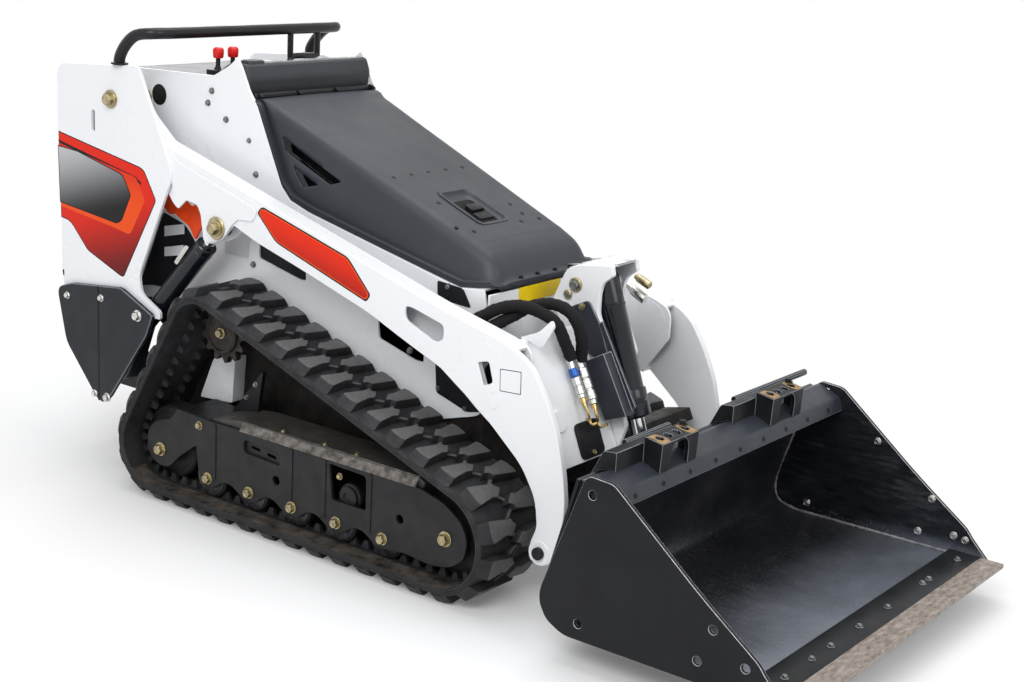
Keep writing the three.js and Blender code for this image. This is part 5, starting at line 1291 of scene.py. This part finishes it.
def block(centre, rows, half_sizes, edge=0.002):
    """A small moulded block: its outline, a rounded rectangle in the plane of rows 0 and 1, is carried along
    row 2 and drawn in at both ends. The outline is a superellipse of power 8."""
    around = 24
    angle = np.arange(around) * 2 * math.pi / around
    shape = np.stack([np.sign(np.cos(angle)) * np.abs(np.cos(angle)) ** 0.25,
                      np.sign(np.sin(angle)) * np.abs(np.sin(angle)) ** 0.25], -1)
    a, b, c = half_sizes
    rings = [np.column_stack([shape * [a - inset, b - inset], np.full(around, height)]) for inset, height in
             ((edge, -c), (0.0, -c + edge), (0.0, c - edge), (edge * 0.3, c - edge * 0.3), (edge, c))]
    points, faces = capped(np.array(rings))
    return points @ np.array(rows) + np.asarray(centre), faces


hood_rows = np.array([HOOD_AHEAD, [0, 1, 0], -HOOD_DOWN])
latch_base = hood_top_at(-28, -30) + HOOD_DOWN * 0.008
latch_well = block(latch_base + HOOD_AHEAD * 0.002, hood_rows, (0.054, 0.038, 0.0015))
make_piece("latch_well", latch_well, latch_black, "hood_lid")
latch_bars = [block(latch_base - HOOD_DOWN * 0.006 - HOOD_AHEAD * 0.005, hood_rows, (0.014, 0.027, 0.005)),
              block(latch_base - HOOD_DOWN * 0.003 + HOOD_AHEAD * 0.030, hood_rows, (0.016, 0.031, 0.003))]
make_piece("latch_handle", joined(latch_bars), black_paint, "hood_lid")
# Black plates behind the side vents are painted shade for the dark inside them.
vent_backs = []
for side in (1, -1):
    for vent in VENTS:
        wide = np.array(outset([(x, z) for x, z in vent], 10))[:, :2]
        vent_backs.append(plate(wide / 1000, side * 186, side * 196, 0.5))
make_piece("vent_shade_backs", joined(vent_backs), latch_black, "hood_lid")
flange_bolts = bolted([(195, y, 758.3, 5) for y in (-117, -46, 31, 99)], UP)
make_piece("hood_bolts", flange_bolts, black_paint, "hood_lid")
hinge_profile = [(-240, 0.004), (-240, 0.009), (-236, 0.011), (236, 0.011), (240, 0.009), (240, 0.004)]
hinge_bar = turned((-0.650, 0, 1.131), (-0.650, 1, 1.131), [(y / 1000, r) for y, r in hinge_profile])
make_piece("hood_hinge_bar", hinge_bar, black_paint, "chassis")
HINGE_TABS = [(-664, 1120, 6), (-664, 1138, 8), (-640, 1144, 8), (-622, 1134, 6)]
hinge_tabs = joined([plate(rounded(HINGE_TABS), y, y + 8, 1.0) for y in (-232, -80, 72, 224)])
make_piece("hood_hinge_tabs", hinge_tabs, black_paint, "hood_lid")


# ------------------------------ operator's console, grab bar and levers
# A moulded slate console with a textured top and a raised front lip, behind it a bent black tube to hold on
# to, and two levers with red caps.
console_grey = plain_finish("console_grey", (0.034, 0.037, 0.044), (0.42, 0.55), spread=0.12, patch=6.0,
                            grain=(1200.0, 0.00014), shine=0.3)
refined("dash", console_grey, 6.0, "chassis", angle=20, segments=3)
bump_at = np.array([-0.700, -0.196, 1.2165])
console_bump = block(bump_at, np.eye(3), (0.020, 0.030, 0.010), 0.006)
make_piece("console_bump", console_bump, console_grey, "chassis")
refined("rear_panel", white_enamel, 1.0, "chassis")
refined("front_panel", white_enamel, 1.5, "chassis")
refined("standing_platform", frame_black, 1.6, "chassis")
yellow_plate = plain_finish("yellow_plate", (0.86, 0.60, 0.004), (0.3, 0.4), spread=0.06, patch=20.0,
                            shine=0.2)
blank_plate = crosswise(plate(rectangle(-135, 695, 45, 737, 4), 204.1, 204.6, 0.2))
make_piece("yellow_blank_plate", blank_plate, yellow_plate, "chassis")
bar_black = plain_finish("bar_black", (0.009, 0.009, 0.011), (0.25, 0.4), spread=0.3, patch=8.0,
                         grain=(350.0, 0.0001), shine=0.3)
BAR_RADIUS, STAY_RADIUS, BAR_X, BAR_Z = 0.016, 0.009, -900, 1284
bar_half = [(-1034, -380, 1188.6), (-1034, -380, 1204), (-1010, -382, 1240), (-966, -380, 1274),
            (-916, -366, 1283), (BAR_X - 1, -320, BAR_Z)]
bar_line = bar_half + [(BAR_X, 0, BAR_Z)] + [(x, -y, z) for x, y, z in bar_half[::-1]]
bar_route = smooth_route(np.array(bar_line) / 1000, 150)
bar_parts = [swept(bar_route, BAR_RADIUS, 20)]
for y in (155, 270):
    bar_parts.append(turned((BAR_X / 1000, y / 1000, 1.2), (BAR_X / 1000, y / 1000, 1.284),
                            [(0.0, 0.004), (0.0, STAY_RADIUS), (0.084, STAY_RADIUS)], 16))
stay_line = [(BAR_X, y, z) for y, z in ((155, 1167), (155, 1194), (164, 1202), (260, 1202), (270, 1206))]
bar_parts.append(swept(smooth_route(np.array(stay_line) / 1000, 24), STAY_RADIUS, 14))
for side in (-1, 1):
    bar_parts.append(turned((-1.034, side * 0.380, 1.1887), (-1.034, side * 0.380, 1.2),
                            [(0.0, 0.018), (0.0, 0.024), (0.005, 0.024), (0.008, 0.018)]))
make_piece("grab_bar_tube", joined(bar_parts), bar_black, "chassis", replaces=["grab_bar"])
red_cap = plain_finish("red_cap", (0.70, 0.012, 0.008), (0.25, 0.38), spread=0.1, patch=30.0, shine=0.35)
lever_parts, cap_parts = [block((-0.851, -0.1505, 1.1765), np.eye(3), (0.029, 0.0545, 0.0075), 0.002)], []
for y in (-0.182, -0.126):
    lever_parts.append(turned((-0.852, y, 1.178), (-0.850, y, 1.226), [
        (0.0, 0.004), (0.0, 0.013), (0.006, 0.012), (0.012, 0.008), (0.016, 0.0065), (0.048, 0.0065)], 16))
    cap_parts.append(turned((-0.850, y, 1.216), (-0.850, y, 1.246), [
        (0.0, 0.008), (0.0, 0.012), (0.003, 0.0145), (0.020, 0.016), (0.026, 0.0145), (0.030, 0.009)], 20))
make_piece("lever_stems", joined(lever_parts), black_paint, "chassis",
           replaces=["control_levers"])
make_piece("lever_caps", joined(cap_parts), red_cap, "chassis")


# ------------------------------ hydraulic cylinders
# Drawn-tube barrels painted black, with a machined gland at the mouth, and hard-chromed rods that slide in
# them and end in eyes on the arms' and the attachment's pins.
chrome = plain_finish("hard_chrome", (0.72, 0.74, 0.77), (0.06, 0.14), metallic=1.0, spread=0.04, patch=30.0,
                      grain=(900.0, 0.00001))
barrel_black = plain_finish("barrel_black", (0.005, 0.0065, 0.011), (0.16, 0.24), spread=0.35, patch=10.0,
                            grain=(300.0, 0.00004), shine=0.4)
LIFT_BASE, LIFT_PIN = np.array([-1.140, 0, 0.275]), np.array([-0.666, 0, 0.780])
TILT_TOP, TILT_PIN = np.array([0.377, 0, 0.761]), np.array([0.550, 0, 0.277])
# A rod's radius, and its eye's (radius, half width).
LIFT_ROD, LIFT_EYE = 0.016, (0.026, 0.019)
TILT_ROD, TILT_EYE = 0.0215, (0.024, 0.028)
EYE_BORE = 0.017


def barrel(base, tip, y, radius, length, gland, collar, eye, rod, neck=True):
    """A barrel turned on the line from its base pin to the rod's pin: lug end, tube, weld bead and gland.
    The gland is gland long and stands out by collar; rod is the rod's radius, and eye the lug's (radius,
    half width). Without a neck the tube runs up over its lug to a rounded head."""
    way = (tip - base) / np.linalg.norm(tip - base)
    start = base + [0, y, 0]
    head = [(0.012, 0.004), (0.012, radius * 0.6), (0.036, radius * 0.62), (0.045, radius * 0.9),
            (0.047, radius)]
    if not neck:
        head = [(-0.026, 0.004), (-0.026, radius * 0.74), (-0.021, radius * 0.94), (-0.012, radius)]
    tube = turned(start, start + way, [
        *head, (0.055, radius), (0.057, radius + 0.0018), (0.062, radius + 0.0018),
        (0.065, radius), (length - gland, radius), (length - gland, radius + collar * 0.7),
        (length - gland + 0.003, radius + collar), (length - gland * 0.62, radius + collar),
        (length - gland * 0.6, radius + collar * 0.2), (length - gland * 0.52, radius + collar * 0.2),
        (length - gland * 0.5, radius + collar), (length - 0.003, radius + collar),
        (length, radius + collar - 0.003), (length, rod + 0.006), (length + 0.004, rod + 0.004),
        (length + 0.004, rod + 0.0006), (length - 0.01, rod + 0.0006)], 40)
    return joined([tube, bushing(start, eye[1], EYE_BORE, eye[0], 0.002)])


def rod_shape(base, tip, y, radius, tail, eye):
    """A polished rod along the same line, from tail metres on, necked and welded to its eye: (rod, eye)."""
    length = np.linalg.norm(tip - base)
    way = (tip - base) / length
    start = base + [0, y, 0]
    shaft = turned(start, start + way,
                   [(tail, 0.004), (tail, radius), (length - eye[0] - 0.018, radius),
                    (length - eye[0] - 0.014, radius * 0.82), (length - eye[0] * 0.6, radius * 0.82)], 40)
    return shaft, bushing(tip + [0, y, 0], eye[1], EYE_BORE, eye[0], 0.002)


for side, y in (("right", -0.340), ("left", 0.340)):
    short = side[0]
    lift_tube = barrel(LIFT_BASE, LIFT_PIN, y, radius=0.029, length=0.615, gland=0.040, collar=0.001,
                       eye=LIFT_EYE, rod=LIFT_ROD)
    make_piece(f"lift_barrel_tube_{side}", lift_tube, barrel_black, f"lift_barrel_{short}",
               replaces=[f"lift_barrel_{side}"])
    shaft, ring = rod_shape(LIFT_BASE, LIFT_PIN, y, LIFT_ROD, 0.080, LIFT_EYE)
    make_piece(f"lift_rod_shaft_{side}", shaft, chrome, f"lift_rod_{short}",
               replaces=[f"lift_rod_{side}"])
    make_piece(f"lift_rod_eye_{side}", ring, barrel_black, f"lift_rod_{short}")
tilt_tube = barrel(TILT_TOP, TILT_PIN, 0, radius=0.037, length=0.349, gland=0.071, collar=0.005,
                   eye=TILT_EYE, rod=TILT_ROD, neck=False)
make_piece("tilt_barrel_tube", tilt_tube, barrel_black, "tilt_barrel_body",
           replaces=["tilt_barrel"])
tilt_shaft, tilt_ring = rod_shape(TILT_TOP, TILT_PIN, 0, TILT_ROD, 0.095, TILT_EYE)
make_piece("tilt_rod_shaft", tilt_shaft, chrome, "tilt_rod_body", replaces=["tilt_rod"])
make_piece("tilt_rod_eye", tilt_ring, barrel_black, "tilt_rod_body")


# ------------------------------ bucket
# Welded from rolled and flat steel plate and powder-coated near-black. Inside, soil has polished the floor
# along its length, and its front carries a painted bluish sheen; the coat is worn through to bright metal on
# the ends' cut edges.
bucket_coat = plain_finish("bucket_coat", (0.0075, 0.0082, 0.0098), (0.34, 0.48), spread=0.3, patch=7.0,
                           grain=(600.0, 0.00008), shine=0.2)
bright_edge = plain_finish("bright_edge", (0.42, 0.42, 0.43), (0.35, 0.55), spread=0.3, patch=50.0)


def brushed_and_sheen_inside():
    """The bucket's inside: the coat scuffed smooth along X, as stretched noise moves the gloss, and the
    colour between blue-black and grey. A painted bluish sheen lies on the floor's front part, and the floor
    carries pale specks."""
    made, tree, shader = new_material("bucket_inside")
    streaks = soft_noise(tree, 1.0, 9.0, 0.68, stretch=(16, 420, 80))
    clouds = soft_noise(tree, 3.4, 6.0, 0.6)
    tone = ramped(tree, combined(tree, "ADD", streaks, clouds), 0.75, 1.35, 0.0, 1.0)
    colour = toned(tree, tone, [(0.0, (0.008, 0.009, 0.013)), (0.5, (0.019, 0.021, 0.027)),
                                (1.0, (0.080, 0.080, 0.086))])
    part = add_node(tree, "ShaderNodeSeparateXYZ", {"Vector": object_place(tree)}).outputs
    # Low down and far forward on the floor a bluish sheen is painted into the colour.
    ahead = ramped(tree, part["X"], 0.86, 1.14, 0.0, 0.9)
    low = ramped(tree, part["Z"], 0.095, 0.13, 1.0, 0.0)
    polished = combined(tree, "MULTIPLY", combined(tree, "MULTIPLY", ahead, low), clouds)
    sheen = overlaid(tree, polished, colour, (0.36, 0.40, 0.48, 1))
    specks = soft_noise(tree, 1.0, 4.0, stretch=(120, 420, 120))
    on_floor = combined(tree, "MULTIPLY", ramped(tree, specks, 0.57, 0.70, 0.0, 0.5), low)
    fill(tree, shader, {
        "Base Color": overlaid(tree, on_floor, sheen, (0.30, 0.30, 0.31, 1)),
        "Roughness": ramped(tree, streaks, 0.3, 0.7, 0.24, 0.44),
        "Normal": relief(tree, streaks, 0.5, 0.0004), "Metallic": 0.45})
    return made


bucket_inside = brushed_and_sheen_inside()
SHELL_LINE = [(1240, 80), (690, 80, 60), (636, 98, 50), (618, 150, 30), (700, 455), (708, 453),
              (627, 150, 30), (642, 106, 42), (692, 90, 50), (1240, 90)]
shell_loop = rounded(SHELL_LINE, 14)
shell = make_piece("bucket_wrap", plate(shell_loop, -557, 557, 0.4), [bucket_coat, bucket_inside],
                   "attachment", smooth=32, replaces=["bucket_shell"])
by_face(shell, lambda face: (face.center.z > 0.0895 and face.center.x > 0.622 and abs(face.normal.y) < 0.5
                             and face.normal.z + face.normal.x > 0.3))
BUCKET_SIDE = [(722, 458, 6), (736, 470, 8), (800, 466, 14), (1036, 277, 60), (1190, 166, 16), (1205, 146, 8),
               (1252, 98), (1252, 76), (690, 76, 20), (640, 100, 40), (612, 150, 40)]
BUCKET_HOLES = [circle(x, z, 11) for x, z in ((746, 428), (729, 116), (1042, 128), (1159, 148), (1074, 210))]
for side, low, high in (("right", -559, -547), ("left", 547, 559)):
    end = make_piece(f"bucket_end_{side}", plate(rounded(BUCKET_SIDE, 9), low, high, 1.8,
                                                 holes=BUCKET_HOLES if side == "right" else ()),
                     [bucket_coat, bright_edge, bucket_inside], "attachment")
    # The bevelled rim shows bright metal, and the face inside the bucket is scuffed, with the painted sheen
    # low at its front.
    inner = 1 if side == "right" else -1
    by_face(end, lambda face: 2 if face.normal.y * inner > 0.9 else 0.25 < abs(face.normal.y) <= 0.9)
    flat_shaded(end)
FLOOR_WELD = [(x, -546, 92) for x in (694, 760, 1000, 1180)]
BACK_WELD = [(x, -545.5, z) for x, z in ((708, 448), (668, 300), (630, 160), (640, 112), (694, 92))]
weld_lines = [smooth_route(np.array(line) / 1000, 60) for line in (FLOOR_WELD, BACK_WELD)]
wobble = 0.0042 + 0.0008 * np.sin(np.arange(60) * 2.1)
welds = [swept(line, wobble, 8) for line in weld_lines]
worn_weld = plain_finish("worn_weld", (0.17, 0.17, 0.175), (0.3, 0.5), spread=0.5, patch=40.0)
make_piece("bucket_welds_right", joined(welds), bucket_coat, "attachment")
make_piece("bucket_welds_left", joined([mirrored(weld) for weld in welds]), worn_weld, "attachment")
# The beam's rounded edges carry the lighter slate as a painted highlight.
refined("bucket_beam", [slate_paint, slate_edge_highlight], 2.0, "attachment", highlight_layer=1)
HOLE_RIM = [(0.0, 0.0035), (0.0, 0.0062), (0.0008, 0.0062), (0.0008, 0.0045), (0.0002, 0.004)]
beam_holes = [turned((0.8026, y, 0.419), (0.8046, y, 0.4197), HOLE_RIM, 14)
              for y in np.linspace(-0.47, 0.47, 9)]
make_piece("beam_hole_rims", joined(beam_holes), decal_black, "attachment")
refined("attach_frame", frame_black, 2.0, "attachment")


def bare_edge_finish():
    """Bare cutting-edge steel: brown-beige scale with bright scrapes, from noise drawn out along Y."""
    made, tree, shader = new_material("bare_edge_steel")
    scale = soft_noise(tree, 1.0, 10.0, 0.72, stretch=(90, 30, 90))
    colour = toned(tree, scale, [(0.30, (0.10, 0.083, 0.070)), (0.47, (0.25, 0.21, 0.18)),
                                 (0.60, (0.37, 0.32, 0.275)), (0.75, (0.54, 0.49, 0.43))])
    fill(tree, shader, {"Base Color": colour, "Normal": relief(tree, scale, 0.7, 0.0006), "Metallic": 0.55,
                        "Roughness": 0.46})
    return made


bare_edge_steel = bare_edge_finish()
refined("cutting_edge", bare_edge_steel, 1.5, "attachment")
coated_strip = plate(rounded([(1153, 102.9), (1236, 102.9), (1238, 101.9), (1151, 101.9)]), -546, 546, 0.2)
make_piece("edge_coated_strip", coated_strip, bucket_coat, "attachment")
edge_bolts = bolted([(1200, y, 103, 6) for y in (482, 302, 264, 63, -90, -235, -327, -453)], UP)
make_piece("edge_bolts", edge_bolts, dark_steel, "attachment")
end_bolts = bolted([(x, 547, z, 7) for x, z in ((756, 446), (918, 343), (1087, 224), (731, 120), (1059, 127),
                                                (1158, 141), (1190, 136))])
make_piece("bucket_end_bolts", end_bolts, zinc_silver, "attachment")


# ------------------------------ step brackets and arm lock
# Black perforated treads on arched legs stand on the beam, their corners worn to bronze; an orange folded
# lock channel hangs on its pin beside the right arm.
worn_bronze = plain_finish("worn_bronze", (0.33, 0.20, 0.08), (0.35, 0.55), metallic=0.6, spread=0.5,
                           patch=60.0)
# The treads' rear edge, in metres, and how far they fall for each metre ahead.
TREAD_X, TREAD_Z, TREAD_FALL = 0.748, 0.5213, 0.18


def tread_patch(outline, hole):
    """A worn patch drawn from above in millimetres, with a hole, and laid on the sloping tread."""
    points, faces = plate(rounded(outline), -0.25, 0.25, 0.05, holes=[circle(773, hole, 11.4, 20)])
    height = TREAD_Z - (points[:, 0] - TREAD_X) * TREAD_FALL + points[:, 1]
    return np.stack([points[:, 0], points[:, 2], height], -1), faces


# The steps' rounded edges carry the lighter blue-grey as a painted highlight.
for side, y0 in (("right", -362), ("left", 160)):
    refined(f"step_bracket_{side}", [black_paint, guard_edge_highlight], 1.2, "attachment", highlight_layer=1)
    pads = [tread_patch([(753, y0 + 4, 4), (796, y0 + 4, 4), (797, y0 + 36, 6),
                         (785, y0 + 44, 6), (768, y0 + 42, 4), (753, y0 + 30, 6)], y0 + 25.6),
            tread_patch([(752, y0 + 124, 6), (764, y0 + 120, 4), (782, y0 + 121, 4), (797, y0 + 126, 6),
                         (796, y0 + 156, 4), (752, y0 + 156, 4)], y0 + 136)]
    make_piece(f"step_wear_{side}", joined(pads), worn_bronze, "attachment")
    make_piece(f"step_studs_{side}", bolted([(756, y0 + 152, 519.5, 8)], UP), black_paint, "attachment")
lock_orange = plain_finish("lock_orange", (0.80, 0.060, 0.004), (0.25, 0.4), spread=0.12, patch=20.0,
                           shine=0.3)
refined("arm_lock", lock_orange, 1.2, "chassis")
